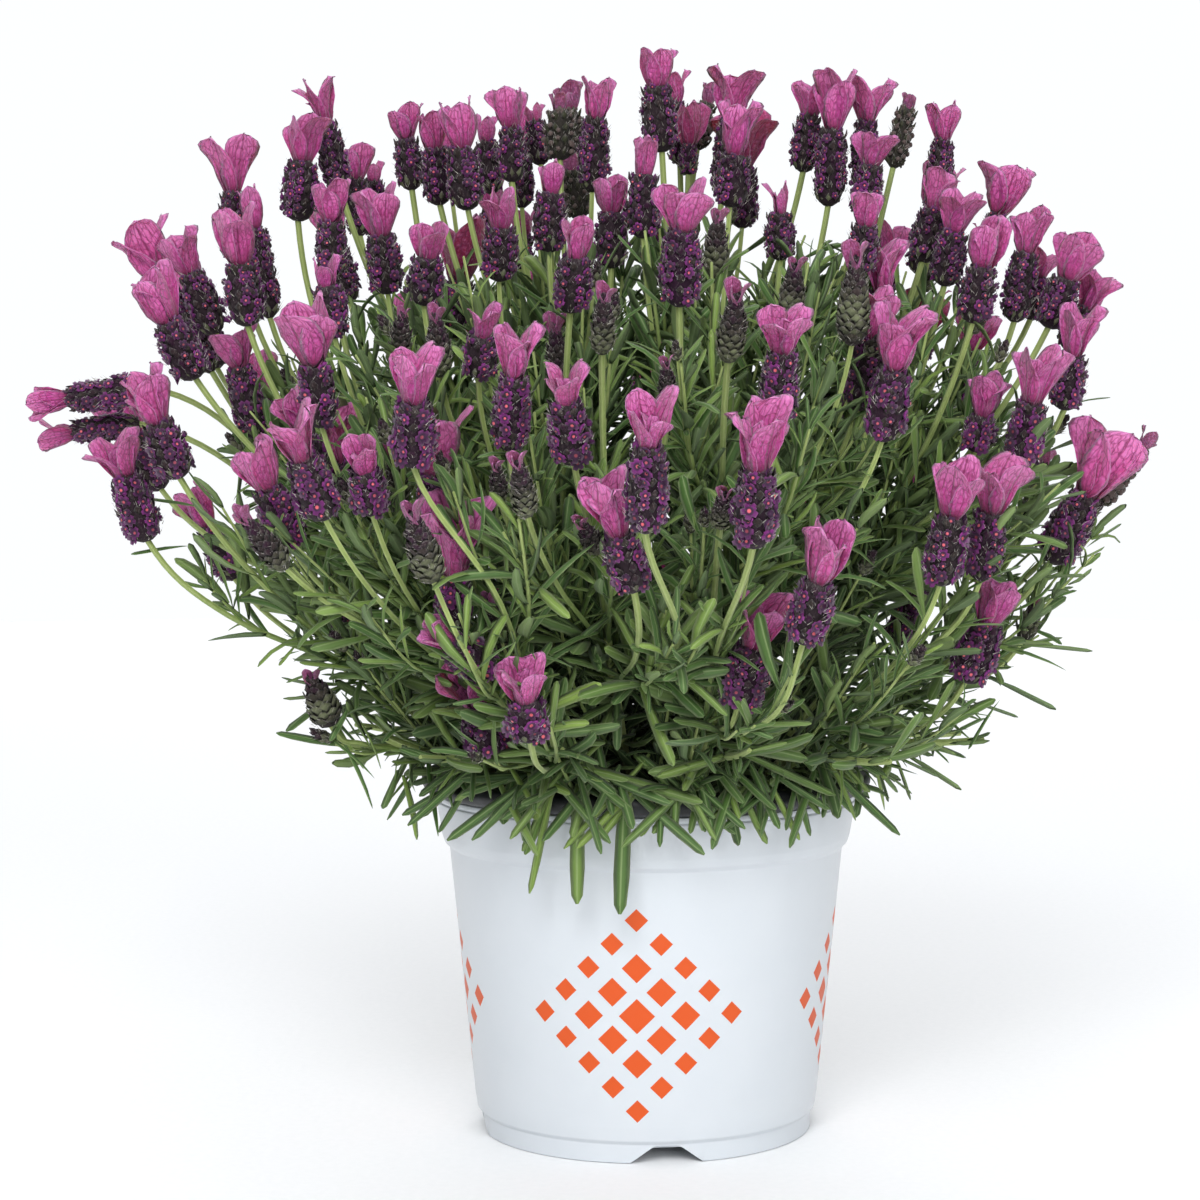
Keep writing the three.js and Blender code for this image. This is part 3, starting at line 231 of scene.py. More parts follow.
sky = bpy.data.worlds.new("sky")
sky.use_nodes = True
backdrop = sky.node_tree.nodes["Background"]
backdrop.inputs["Color"].default_value = SKY
wire = Wire(sky.node_tree)
aside, _, above = wire.node("ShaderNodeTexCoord", out="Generated").parts()
walls = (1 - aside.of("ABSOLUTE").grade(*SHADED_SIDES) * SIDE_SHADE) * TENT_GLOW
tent = walls + above.grade(*GLOWING_TOP) * TOP_GLOW
seen = wire.node("ShaderNodeLightPath", out="Is Camera Ray")
wire.feed(backdrop.inputs["Strength"], seen * BACKDROP_GLOW + (1 - seen) * tent)
bpy.context.scene.world = sky
for k, (lamp_place, lamp_size, lamp_power) in enumerate(LAMPS):
    lamp = add_object(f"lamp_{k + 1}", bpy.data.lights.new(f"lamp_{k + 1}", "AREA"))
    lamp.data.size = lamp_size
    lamp.data.energy = lamp_power
    stand(lamp, lamp_place, LAMP_AIM)

# White pot. Injection-moulded glossy plastic: a foot ring with four notches, a tapering wall with an orange
# pattern printed at four places, and a collar with a fine groove near its edge. Four holes drain its floor.


def tint(red, green, blue):
    """The colour of a paint chip read as display values, as the shader takes it"""
    parts = [v / 255 for v in (red, green, blue)]
    return tuple(v / 12.92 if v <= 0.04045 else ((v + 0.055) / 1.055) ** 2.4 for v in parts) + (1.0,)


WALL_SIDES = 208
CORNER_EASE = 0.5
EASE_SHARE = 0.4
# Radius and height of the pot's outline, from the middle of its floor below to the middle of it inside
POT_OUTLINE = [
    (0, 5.7), (66.3, 5.7), (66.3, 0), (69.3, 0), (69.3, 7.7), (71.1, 9.3), (72, 15), (82.4, 119.2),
    (84.5, 121.1), (85.6, 124.4), (88, 138.5), (87.3, 139.1), (88, 139.7), (88, 141.5), (86.4, 141.5),
    (83.8, 124), (80.7, 117.6), (70.4, 15), (67.4, 7.7), (0, 7.7),
]
FOOT_INNER = 66
FOOT_RADIUS = 69.3
NOTCH_TURN = math.radians(-83)
NOTCH_HALF_WIDTHS = (15, 5)
NOTCH_HEIGHT = 7.2
DRAIN_CIRCLE = 42
DRAIN_RADIUS = 6
DRAIN_SIDES = 32
PUNCH_HEIGHT = 5.04
PUNCH_LENGTH = 20
SHARP_EDGE = math.radians(35)
PRINT_TURN = math.radians(-92.7)
PRINT_HEIGHT = 61
PRINT_PITCH = 19.5
PRINT_CENTRE_SIZE = 0.37
PRINT_SIZE_STEP = 0.065
PRINT_RINGS = 2.5
PRINT_TOP = 116
WALL_TAPER = 0.1
WALL_CORE_RADIUS = 69.5
WHITE = tint(212, 217, 222)
WHITE_SHADE = tint(203, 209, 215)
PRINT_ORANGE = tint(214, 80, 4)


def as_mesh(name, made, smooth=False):
    """Ends the making of a mesh"""
    mesh = bpy.data.meshes.new(name)
    made.to_mesh(mesh)
    made.free()
    if smooth:
        mesh.shade_smooth()
    return mesh


def eased(outline, ease, steps=3):
    """An outline with its corners rounded"""
    points = [np.array(point, float) for point in outline]
    made = [points[0]]
    for before, corner, after in zip(points, points[1:], points[2:]):
        back, ahead = before - corner, after - corner
        back *= min(ease, EASE_SHARE * np.linalg.norm(back)) / np.linalg.norm(back)
        ahead *= min(ease, EASE_SHARE * np.linalg.norm(ahead)) / np.linalg.norm(ahead)
        for t in np.linspace(0, 1, steps + 1):
            made.append(corner + (1 - t) ** 2 * back + t ** 2 * ahead)
    return made + [points[-1]]


def turned(outline, sides, shift=lambda radius, height, angle: height):
    """A closed round mesh about the pot's axis, from an outline that begins and ends on the axis"""
    made = bmesh.new()
    angles = [k * 2 * math.pi / sides for k in range(sides)]
    rings = []
    for radius, height in outline[1:-1]:
        ring = [(radius * math.cos(a), radius * math.sin(a), shift(radius, height, a)) for a in angles]
        rings.append([made.verts.new(point) for point in ring])
    for low, high in zip(rings, rings[1:]):
        for k in range(sides):
            n = (k + 1) % sides
            made.faces.new((low[k], low[n], high[n], high[k]))
    bottom, top = made.verts.new((0, 0, outline[0][1])), made.verts.new((0, 0, outline[-1][1]))
    for k in range(sides):
        n = (k + 1) % sides
        made.faces.new((rings[0][n], rings[0][k], bottom))
        made.faces.new((rings[-1][k], rings[-1][n], top))
    made.transform(Matrix.Translation(POT_AXIS / MM))
    made.transform(Matrix.Scale(MM, 4))
    return as_mesh("turned", made)


def drained(name, mesh, azimuth):
    """A pot with four drain holes cut through its floor, the first at the azimuth"""
    made = bmesh.new()
    for k in range(4):
        angle = azimuth + k * math.pi / 2
        place = (math.cos(angle) * DRAIN_CIRCLE, math.sin(angle) * DRAIN_CIRCLE, PUNCH_HEIGHT)
        bmesh.ops.create_cone(made, cap_ends=True, segments=DRAIN_SIDES, radius1=DRAIN_RADIUS * MM,
                              radius2=DRAIN_RADIUS * MM, depth=PUNCH_LENGTH * MM,
                              matrix=Matrix.Translation(POT_AXIS + np.array(place) * MM))
    punch, pot = add_object("punch", as_mesh("punch", made)), add_object(name, mesh)
    cut = pot.modifiers.new("cut", "BOOLEAN")
    cut.object = punch
    plain = bpy.data.meshes.new_from_object(pot.evaluated_get(bpy.context.evaluated_depsgraph_get()))
    pot.modifiers.clear()
    pot.data = plain
    plain.name = name
    bpy.data.objects.remove(punch)
    plain.shade_smooth()
    plain.set_sharp_from_angle(angle=SHARP_EDGE)
    return pot


def finished(piece, material, slot, *nodes):
    """Gives a piece its material, hangs it on the root body and hides the CAD parts that it stands for"""
    if material.name not in piece.data.materials:
        piece.data.materials.append(material)
    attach(piece, "root")
    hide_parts(*nodes)


def foot_height(radius, height, angle):
    """Height of the pot's outline, raised in the notches of the foot"""
    if radius < FOOT_INNER or height > NOTCH_HEIGHT:
        return height
    turn = (angle - NOTCH_TURN + math.pi / 4) % (math.pi / 2) - math.pi / 4
    wide, narrow = NOTCH_HALF_WIDTHS
    part = (wide - abs(turn) * FOOT_RADIUS) / (wide - narrow)
    return max(height, NOTCH_HEIGHT * min(1, max(0, part)))


white_plastic, wire = new_finish("white_plastic", IOR=1.5, Coat_Roughness=0.2)
place = wire.place()
across, ahead, above = (place / MM - tuple(POT_AXIS / MM)).parts()
turn = (wire.worked("ARCTAN2", ahead, across) - PRINT_TURN) / (math.pi / 2) + 0.5
away = (across * across + ahead * ahead).of("SQRT")
along_wall = (turn.of("FRACT") - 0.5) * (math.pi / 2) * away
up_wall = above - PRINT_HEIGHT
lattice = [(along_wall + up_wall) / PRINT_PITCH, (along_wall - up_wall) / PRINT_PITCH]
cell = [part.of("ROUND") for part in lattice]
ring = cell[0].of("ABSOLUTE").most(cell[1].of("ABSOLUTE"))
off_centre = (lattice[0] - cell[0]).of("ABSOLUTE").most((lattice[1] - cell[1]).of("ABSOLUTE"))
outside = away > above * WALL_TAPER + WALL_CORE_RADIUS
inside_square = off_centre < PRINT_CENTRE_SIZE - ring * PRINT_SIZE_STEP
ink = inside_square * (ring < PRINT_RINGS) * outside * (above < PRINT_TOP)
mottle = place.noise(30.0, 4.0)
scuffs = place.noise(420.0, 2.0)
plastic_tone = mottle.tones(WHITE_SHADE, WHITE)
paint(wire, Base_Color=ink.tones(plastic_tone, PRINT_ORANGE),
      Roughness=0.3 + scuffs * 0.12 + ink * 0.1,
      Coat_Weight=0.25 - ink * 0.25,
      Normal=(mottle * 0.6 + scuffs * 0.15 + ink * 0.3).bump(0.25, 0.0003))
pot_mesh = turned(eased(POT_OUTLINE, CORNER_EASE), WALL_SIDES, foot_height)
white_pot = drained("white_pot", pot_mesh, math.pi / 4)
finished(white_pot, white_plastic, "white_plastic", "outer_pot")

# Grower's pot. Thin black plastic that stands inside the white pot and hangs on its edge by a rolled lip. The
# lip is glossy where hands and trays have rubbed it.
LIP_EASE = 1.1
LINER_OUTLINE = [
    (0, 8.05), (66.85, 8.05), (70.05, 15), (82.26, 137.8), (83.27, 141.8), (88.8, 141.8), (92.7, 143.4),
    (94.3, 146.4), (93.4, 149.6), (90.7, 150.5), (85.7, 150.5), (84.2, 149), (81.06, 137.8), (68.85, 15),
    (65.65, 9.25), (0, 9.25),
]
BLACK = tint(17, 19, 22)
BLACK_WORN = tint(44, 47, 52)

black_plastic, wire = new_finish("black_plastic", IOR=1.48)
place = wire.place()
grain = place.noise(260.0, 3.0)
rubbed = place.noise(38.0, 5.0, 0.7).grade(0.52, 0.75)
paint(wire, Base_Color=rubbed.tones(BLACK, BLACK_WORN),
      Roughness=0.42 - rubbed * 0.14 + grain * 0.1,
      Normal=(grain + rubbed).bump(0.3, 0.0002))
liner_mesh = turned(eased(LINER_OUTLINE, LIP_EASE), WALL_SIDES // 2)
grower_pot = drained("grower_pot", liner_mesh, 0)
finished(grower_pot, black_plastic, "black_plastic", "inner_pot")

# Potting mix. Dark peat with bark fills the grower's pot to a finger's width under its lip, a little higher
# in the middle than at the wall. Loose bark chips and crumbs lie on it.
MIX_SIDES = 120
MIX_EDGE = [(0, 9.6), (62.3, 9.6), (68.5, 15), (80.03, 131)]
MIX_TOP_RINGS = [(76, 132), (71, 133.5), *[(radius, 135) for radius in (66, 58, 50, 42, 34, 26, 18, 10, 0)]]
MIX_WALL_HEIGHT = 130
MIX_ROUGHNESS = 2.2
MIX_SINK = 0.8
CRUMB_PITCHES = (0.09, 0.31)
CHIP_SHAPES = [(1, 0.55, 0.25), (0.8, 0.7, 0.4), (0.5, 0.45, 0.4), (1.2, 0.3, 0.2)]
CHIP_ROUGHNESS = 0.22
CHIP_LUMP_PITCH = 2.3
CHIP_STEP = 7.1
CHIP_DENSITY = 30000
CHIP_SIZE = 3.1
CHIP_LEAST_SIZE = 0.45
CHIP_SIZE_SPREAD = 1.1
CHIP_TILTS = (1.2, 1.2, 6.28)
CHIP_LEVEL = 0.12
CHIP_SEED = 4
CHIP_CELLS = 40
MAP_MARGIN = 0.03
PEAT = tint(38, 27, 20)
BARK = tint(92, 66, 46)
DRY_FIBRE = tint(128, 104, 80)
BARK_WEATHERED = tint(58, 38, 26)
BARK_GRAIN = tint(34, 24, 18)


def crumbled(radius, height, angle):
    """Height of the mix's outline, with its top broken up into crumbs"""
    if height < MIX_WALL_HEIGHT:
        return height
    at = Vector((radius * math.cos(angle), radius * math.sin(angle), 0))
    coarse, fine = (noise.noise(at * pitch) for pitch in CRUMB_PITCHES)
    return height + MIX_ROUGHNESS * (coarse + 0.5 * fine) - MIX_SINK


def chip_form(k, long, wide, thick):
    """A bark chip or peat crumb of about unit length, as a rough closed block"""
    made = bmesh.new()
    bmesh.ops.create_icosphere(made, subdivisions=1, radius=0.5)
    layer = made.loops.layers.uv.new("piece")
    for vert in made.verts:
        lumps = noise.noise_vector(vert.co * CHIP_LUMP_PITCH + Vector((k * CHIP_STEP, 0, 0)))
        vert.co += CHIP_ROUGHNESS * lumps
        vert.co = Vector((vert.co.x * long, vert.co.y * wide, vert.co.z * thick))
    for face in made.faces:
        for loop in face.loops:
            loop[layer].uv = (0.5 + 0.4 * loop.vert.co.x / long, 0.5 + 0.4 * loop.vert.co.y / wide)
    return as_mesh("chip", made)


def form_set(name, meshes):
    """A collection of forms for a tree to copy, in their order"""
    forms = bpy.data.collections.new(name)
    for k, mesh in enumerate(meshes):
        forms.objects.link(bpy.data.objects.new(f"{name}_{k:02d}", mesh))
    return forms


def new_tree(name, inputs):
    """A tree of geometry nodes with named inputs. Gives the tree, a wire, and the wires of its inputs."""
    tree = bpy.data.node_groups.new(name, "GeometryNodeTree")
    for label, kind in inputs.items():
        tree.interface.new_socket(label, in_out="INPUT", socket_type="NodeSocket" + kind)
    tree.interface.new_socket("Geometry", in_out="OUTPUT", socket_type="NodeSocketGeometry")
    source = tree.nodes.new("NodeGroupInput")
    return tree, Wire(tree), {label: Wire(tree, source.outputs[label]) for label in inputs}


def close_tree(wire, geometry, material):
    """Ends a tree: the copies become real faces, and take the material"""
    real = wire.node("GeometryNodeRealizeInstances", {}, {0: geometry})
    coated = wire.node("GeometryNodeSetMaterial", {}, {0: real, 2: material})
    wire.feed(wire.tree.nodes.new("NodeGroupOutput").inputs[0], coated)


def store(wire, geometry, name, value, kind="FLOAT", domain="POINT"):
    """Keeps a value at each point or corner under a name"""
    settings = {"data_type": kind, "domain": domain}
    return wire.node("GeometryNodeStoreNamedAttribute", settings, {0: geometry, 2: name, 3: value})


def named(wire, name, kind="FLOAT"):
    """The value that was kept under a name"""
    return wire.node("GeometryNodeInputNamedAttribute", {"data_type": kind}, {0: name})


def random_part(wire, seed):
    """A random number from 0 to 1 for each point"""
    return wire.node("FunctionNodeRandomValue", {}, {2: 0.0, 3: 1.0, 8: seed}, out=1)


def joined(wire, *parts):
    """A vector of three numbers"""
    return wire.node("ShaderNodeCombineXYZ", {}, dict(enumerate(parts)))


def atlas(wire, geometry, cells):
    """Lays the copies' own maps out side by side on one square, for the closing bake of the colours"""
    inside = named(wire, "piece", "FLOAT_VECTOR") * (1 - 2 * MAP_MARGIN) + MAP_MARGIN
    spot = (inside + named(wire, "cell", "FLOAT_VECTOR")) / cells
    return store(wire, geometry, "OFBake", spot, "FLOAT2", "CORNER")


def numbered_cells(wire, points, cells):
    """Gives each point its own cell of the square"""
    index = wire.node("GeometryNodeInputIndex")
    row = (index / cells).of("FLOOR")
    return store(wire, points, "cell", joined(wire, index - row * cells, row, 0.0), "FLOAT_VECTOR")


def turned_by(wire, angles):
    """A rotation from three angles"""
    return wire.node("FunctionNodeEulerToRotation", {}, {0: angles})


def close_with_copies(wire, given, points, pick, aim, size):
    """Ends a tree that sets a form of a collection on each point"""
    forms = wire.node("GeometryNodeCollectionInfo", {}, {0: given["Forms"], 1: True, 2: True})
    sockets = {0: points, 2: forms, 3: True, 4: pick, 5: aim, 6: size}
    laid = wire.node("GeometryNodeInstanceOnPoints", {}, sockets)
    real = wire.node("GeometryNodeRealizeInstances", {}, {0: laid})
    close_tree(wire, atlas(wire, real, given["Cells Across"]), given["Material"])


def grown(name, host, tree, inputs):
    """Runs a tree on its host and keeps the result as a plain mesh"""
    growth = host.modifiers.new("growth", "NODES")
    growth.node_group = tree
    for item in tree.interface.items_tree:
        if item.in_out == "INPUT" and item.name in inputs:
            growth[item.identifier] = inputs[item.name]
    graph = bpy.context.evaluated_depsgraph_get()
    mesh = bpy.data.meshes.new_from_object(host.evaluated_get(graph), preserve_all_data_layers=True,
                                           depsgraph=graph)
    bpy.data.objects.remove(host)
    mesh.name = name
    for spare in ("cell", "form", "grows", "faces", "size"):
        if spare in mesh.attributes:
            mesh.attributes.remove(mesh.attributes[spare])
    return add_object(name, mesh)


potting_mix_finish, wire = new_finish("potting_mix", Specular_IOR_Level=0.2)
place = wire.place()
crumbs = place.noise(210.0, 6.0, 0.65)
patches = place.noise(55.0, 3.0)
fibres = place.node("ShaderNodeTexVoronoi", {"feature": "F1"}, {"Vector": place, "Scale": 520.0})
tone = patches.grade(0.35, 0.7).tones(PEAT, BARK)
paint(wire, Base_Color=crumbs.grade(0.55, 0.8).tones(tone, DRY_FIBRE),
      Roughness=0.85 + crumbs * 0.15,
      Normal=(crumbs + fibres * 0.4).bump(0.8, 0.0012))
mix_outline = eased(MIX_EDGE, CORNER_EASE) + [np.array(point, float) for point in MIX_TOP_RINGS]
mix_mesh = turned(mix_outline, MIX_SIDES, crumbled)
mix_mesh.materials.append(potting_mix_finish)
potting_mix = add_object("potting_mix", mix_mesh)
finished(potting_mix, potting_mix_finish, "potting_mix", "potting_soil")

chips_tree, wire, given = new_tree("bark_chips", {
    "Geometry": "Geometry", "Forms": "Collection", "Material": "Material", "Density": "Float",
    "Chip Length": "Float", "Cells Across": "Int", "Seed": "Int"})
seed = given["Seed"]
_, _, up = wire.node("GeometryNodeInputNormal").parts()
_, _, height = wire.node("GeometryNodeInputPosition").parts()
on_top = wire.node("FunctionNodeBooleanMath", {"operation": "AND"}, {0: up > 0.5, 1: height > CHIP_LEVEL})
sockets = {0: given["Geometry"], 1: on_top, "Density": given["Density"], "Seed": seed}
points = wire.node("GeometryNodeDistributePointsOnFaces", {}, sockets)
points = store(wire, numbered_cells(wire, points, given["Cells Across"]), "tone", random_part(wire, seed))
tilt = [(random_part(wire, seed + k) - 0.5) * spread for k, spread in enumerate(CHIP_TILTS, 1)]
size = given["Chip Length"] * (CHIP_LEAST_SIZE + random_part(wire, seed + 5) * CHIP_SIZE_SPREAD)
pick = (random_part(wire, seed + 6) * (len(CHIP_SHAPES) - 0.01)).of("FLOOR")
close_with_copies(wire, given, points, pick, turned_by(wire, joined(wire, *tilt)), size)

bark, wire = new_finish("bark_chips", Specular_IOR_Level=0.25)
place = wire.place()
grain = (place * (1.0, 1.0, 3.0)).noise(330.0, 4.0, 0.6)
weathered = wire.attribute("tone")
tone = weathered.grade(0.5, 1.0).tones(BARK_WEATHERED, DRY_FIBRE)
paint(wire, Base_Color=grain.tones(BARK_GRAIN, tone),
      Roughness=0.75 + grain * 0.2,
      Normal=grain.bump(0.7, 0.0006))
chip_host = add_object("chip_host", mix_mesh.copy())
noise.seed_set(CHIP_SEED)
chip_forms = form_set("chip_forms", [chip_form(k, *shape) for k, shape in enumerate(CHIP_SHAPES)])
bark_chips = grown("bark_chips", chip_host, chips_tree, {
    "Forms": chip_forms, "Material": bark, "Density": CHIP_DENSITY, "Chip Length": CHIP_SIZE * MM,
    "Cells Across": CHIP_CELLS, "Seed": CHIP_SEED})
finished(bark_chips, bark, "potting_mix", "potting_soil")

# Stems. Woody main stems rise from the lavender's crown and fork into square green flower stems, each with a
# head or a bud. Leafy stems without flowers spread between them and over the pot's lip. They stand where the
# CAD model's stems and heads do, by the same rule.

# Flower heads in the front view, in pixels of its frame. Each row: foot column, foot row, tip column, tip
# row, depth from -1 at the front of the dome to 1 at its back, the bracts' part of the head's length, width
# of the spike, spread of the bracts, and tone: 0 for dull green-brown, 1 for pink, 2 for crimson.
HEADS = [
    (248, 326, 232, 200, -0.35, 0.5, 42, 42, 1), (270, 318, 248, 183, 0.05, 0.33, 30, 20, 1),
    (236, 262, 228, 130, 0.35, 0.47, 30, 36, 1), (216, 334, 172, 228, 0, 0.42, 36, 38, 1),
    (196, 379, 140, 263, -0.45, 0.5, 44, 50, 1), (212, 372, 128, 220, 0.1, 0.4, 30, 42, 1),
    (256, 438, 228, 322, -0.2, 0.38, 36, 48, 1), (150, 388, 22, 406, -0.1, 0.36, 36, 24, 1),
    (140, 424, 35, 436, 0.25, 0.35, 28, 22, 1), (180, 478, 134, 367, -0.5, 0.5, 44, 40, 1),
    (148, 541, 108, 428, -0.3, 0.42, 44, 52, 1), (322, 427, 303, 294, -0.7, 0.52, 42, 52, 1),
    (293, 548, 246, 438, -0.62, 0.45, 44, 52, 1), (325, 519, 282, 406, -0.85, 0.46, 46, 48, 1),
    (318, 470, 284, 386, -0.35, 0.5, 30, 24, 1), (345, 520, 336, 400, -0.2, 0.5, 30, 40, 1.5),
    (286, 568, 246, 520, -0.75, 0, 26, 16, 2), (340, 190, 315, 73, 0.15, 0.42, 30, 40, 1),
    (298, 221, 306, 110, -0.1, 0.45, 40, 42, 1), (360, 236, 352, 140, 0.25, 0.4, 28, 30, 1),
    (332, 276, 331, 175, -0.15, 0.45, 34, 32, 1), (335, 338, 322, 255, -0.4, 0.36, 38, 24, 1),
    (374, 236, 372, 158, 0.5, 0.3, 28, 14, 1.4), (388, 294, 374, 180, -0.3, 0.48, 40, 42, 1),
    (412, 190, 402, 100, 0.1, 0.42, 30, 34, 1), (440, 205, 428, 110, -0.05, 0.4, 34, 26, 1.3),
    (468, 210, 456, 95, -0.2, 0.45, 38, 36, 1), (452, 198, 445, 128, 0.45, 0.3, 22, 14, 1.3),
    (492, 194, 483, 112, 0.3, 0.35, 26, 18, 1), (512, 182, 510, 82, 0.05, 0.45, 32, 34, 1),
    (522, 208, 519, 108, 0.55, 0.35, 26, 20, 1), (541, 165, 532, 102, 0.35, 0.3, 26, 24, 1.4),
    (560, 160, 560, 90, -0.05, 0.28, 34, 20, 0), (576, 218, 568, 78, 0.5, 0.22, 30, 18, 0),
    (592, 192, 598, 75, -0.1, 0.36, 34, 32, 1), (549, 252, 551, 158, -0.3, 0.36, 38, 18, 1),
    (580, 219, 568, 150, 0.3, 0.3, 28, 18, 0), (611, 268, 612, 173, -0.2, 0.4, 36, 30, 1),
    (424, 305, 430, 220, -0.45, 0.42, 40, 38, 1), (455, 338, 463, 212, 0.1, 0.55, 42, 56, 2),
    (499, 281, 502, 186, -0.4, 0.42, 40, 36, 1), (521, 270, 524, 205, 0.5, 0.5, 26, 20, 1),
    (570, 312, 580, 215, -0.6, 0.42, 42, 22, 1), (662, 152, 654, 44, -0.15, 0.38, 40, 30, 1),
    (680, 165, 675, 68, 0.45, 0.35, 24, 14, 1.4), (643, 238, 645, 134, -0.25, 0.38, 38, 20, 1),
    (688, 175, 690, 98, 0.3, 0.6, 18, 34, 1.6), (697, 150, 713, 77, 0.65, 0.35, 22, 12, 0),
    (722, 197, 738, 63, 0.1, 0.4, 30, 36, 1), (730, 207, 742, 97, -0.3, 0.52, 40, 26, 1),
    (742, 228, 745, 100, 0.45, 0.52, 34, 76, 2), (803, 172, 814, 74, 0.1, 0.42, 32, 36, 1),
    (828, 206, 838, 64, -0.15, 0.45, 36, 34, 1), (864, 190, 868, 71, 0.2, 0.42, 30, 44, 1),
    (862, 216, 878, 126, -0.2, 0.42, 34, 42, 1), (893, 168, 911, 93, 0.5, 0.2, 24, 14, 0),
    (860, 273, 870, 189, -0.35, 0.42, 34, 28, 1), (780, 260, 779, 180, -0.2, 0.4, 32, 16, 1),
    (714, 277, 718, 220, -0.45, 0, 26, 16, 1), (679, 306, 684, 176, -0.75, 0.4, 46, 48, 1),
    (654, 286, 652, 205, 0.2, 0.3, 24, 18, 1), (880, 330, 884, 232, -0.15, 0.6, 30, 34, 1),
    (857, 410, 882, 284, -0.55, 0.42, 44, 30, 1), (882, 441, 906, 300, -0.7, 0.48, 44, 46, 1),
    (852, 344, 856, 262, -0.6, 0, 34, 0, 0), (915, 362, 928, 283, 0.2, 0.65, 30, 50, 2),
    (936, 222, 946, 97, 0.3, 0.34, 30, 25, 1), (922, 262, 946, 165, -0.1, 0.45, 36, 36, 1),
    (944, 286, 963, 185, -0.25, 0.45, 36, 32, 1), (986, 266, 1010, 160, 0.2, 0.5, 28, 46, 1),
    (972, 323, 992, 212, -0.4, 0.48, 40, 34, 1), (1014, 322, 1034, 202, 0, 0.42, 34, 30, 1),
    (1030, 320, 1046, 248, 0.3, 0.4, 26, 26, 1), (1048, 328, 1086, 228, -0.25, 0.5, 40, 38, 1),
    (1066, 350, 1106, 267, 0.2, 0.5, 26, 36, 1), (1064, 410, 1082, 300, -0.3, 0.5, 38, 38, 1),
    (1020, 464, 1044, 340, -0.5, 0.5, 42, 44, 1), (975, 452, 993, 370, -0.35, 0.55, 34, 34, 1),
    (1050, 563, 1122, 425, -0.35, 0.5, 46, 62, 1), (1096, 505, 1155, 430, 0.2, 0.22, 26, 16, 0),
    (940, 585, 962, 455, -0.75, 0.45, 44, 44, 1), (980, 580, 1000, 449, -0.62, 0.47, 42, 58, 1.3),
    (965, 682, 1005, 579, -0.7, 0.42, 46, 40, 1), (1022, 640, 1036, 605, -0.2, 0, 20, 0, 0),
    (1028, 522, 1046, 460, 0.3, 0, 22, 0, 0), (602, 353, 604, 298, -0.7, 0, 24, 11, 1),
    (560, 390, 555, 328, -0.45, 0, 24, 14, 2), (574, 463, 561, 364, -0.85, 0.36, 46, 38, 1),
    (509, 450, 518, 321, -0.78, 0.42, 42, 38, 1), (478, 376, 485, 304, -0.6, 0.42, 38, 26, 1),
    (440, 376, 436, 318, -0.5, 0, 26, 20, 1), (400, 356, 402, 317, -0.4, 0, 20, 12, 2),
    (413, 466, 415, 345, -0.85, 0.45, 50, 36, 1), (432, 520, 436, 400, -0.5, 0.6, 34, 66, 1.3),
    (372, 513, 359, 435, -0.8, 0.45, 42, 26, 1), (399, 512, 394, 450, -0.55, 0, 22, 12, 1),
    (433, 580, 412, 517, -0.92, 0, 34, 16, 1), (454, 628, 455, 490, -0.8, 0.62, 40, 54, 1),
    (490, 670, 423, 624, -0.95, 0.4, 44, 28, 1), (492, 753, 464, 658, -1, 0.5, 50, 64, 1.3),
    (530, 739, 520, 658, -1, 0.5, 46, 48, 1), (512, 652, 490, 604, -0.95, 0, 26, 0, 0),
    (527, 515, 518, 464, -0.9, 0, 26, 9, 1), (500, 500, 497, 467, -0.7, 0, 16, 14, 2),
    (645, 532, 650, 387, -1, 0.38, 46, 52, 1), (668, 402, 666, 365, -0.7, 0, 16, 0, 2),
    (634, 591, 601, 470, -1, 0.52, 46, 36, 1), (598, 552, 582, 524, -0.8, 0, 20, 0, 2),
    (728, 361, 737, 297, -0.75, 0, 28, 16, 1), (777, 425, 786, 304, -0.8, 0.38, 42, 38, 1),
    (753, 547, 762, 394, -0.98, 0.48, 50, 54, 1), (720, 526, 724, 495, -0.9, 0, 21, 10, 1),
    (803, 643, 834, 520, -0.98, 0.48, 48, 46, 1), (738, 707, 766, 588, -1, 0.48, 52, 62, 1),
    (331, 725, 312, 681, -0.6, 0, 34, 14, 0), (790, 318, 795, 268, -0.5, 0, 26, 16, 1),
]
# The dome, the crown and the rules for the stems, in millimetres about the pot's axis
DOME_HEIGHTS = (120, 146, 180, 221, 263, 305, 347, 389, 430, 452, 468)
DOME_REACHES = (90, 110, 144, 178, 212, 236, 226, 196, 145, 92, 30)
DOME_CENTRE = -18
LEAST_DEPTH = 40
FOOT_DEPTH = 0.9
DEPTH_NUDGES = (0, -0.08, 0.08, -0.16, 0.16, -0.24, 0.24, -0.32, 0.32, -0.42, 0.42, -0.52, 0.52, 0.64, 0.78,
                0.92, 1.06)
LEAST_SPREAD = 2
WIDE_PART = 0.35
BACK_HEADS = 26
BACK_AZIMUTHS = (12, 168)
BACK_HEIGHTS = (215, 425)
BACK_REACHES = (0.78, 0.99)
BACK_LENGTHS = (42.5, 55)
BACK_WIDTHS = (13.6, 17.6)
BACK_BRACTS = (0.38, 0.5)
BACK_SPREAD = 0.52
BACK_NUDGES = (0, 5, -5, 10, -10, 15, -15)
BACK_UPRIGHTNESS = 0.7
CROWN = np.array((0, 0, 96.0))
ROOT_HEIGHT = 122
MIX_CROWN = 135
LIP_HEIGHT = 150.5
LIP_RADII = (84.2, 94.3)
LIP_PASSING = 9
ROOM = 0.5
MAIN_STEMS = 27
MAIN_ROOM = 1.9
FLOWER_ROOM = 1.15
SETTLING_ROUNDS = 6
FORK_SHARE = 0.62
KNEE_RISE = 11
KNEE_REACH = 88.3
FORK_RISE = 26
FORK_LIFT = 0.8
FORKS = (0.56, 0.98)
FORK_SHIFT = 0.13
STEMS_TRIED = 4
SWERVES = 9
SWERVE_STEP = 9
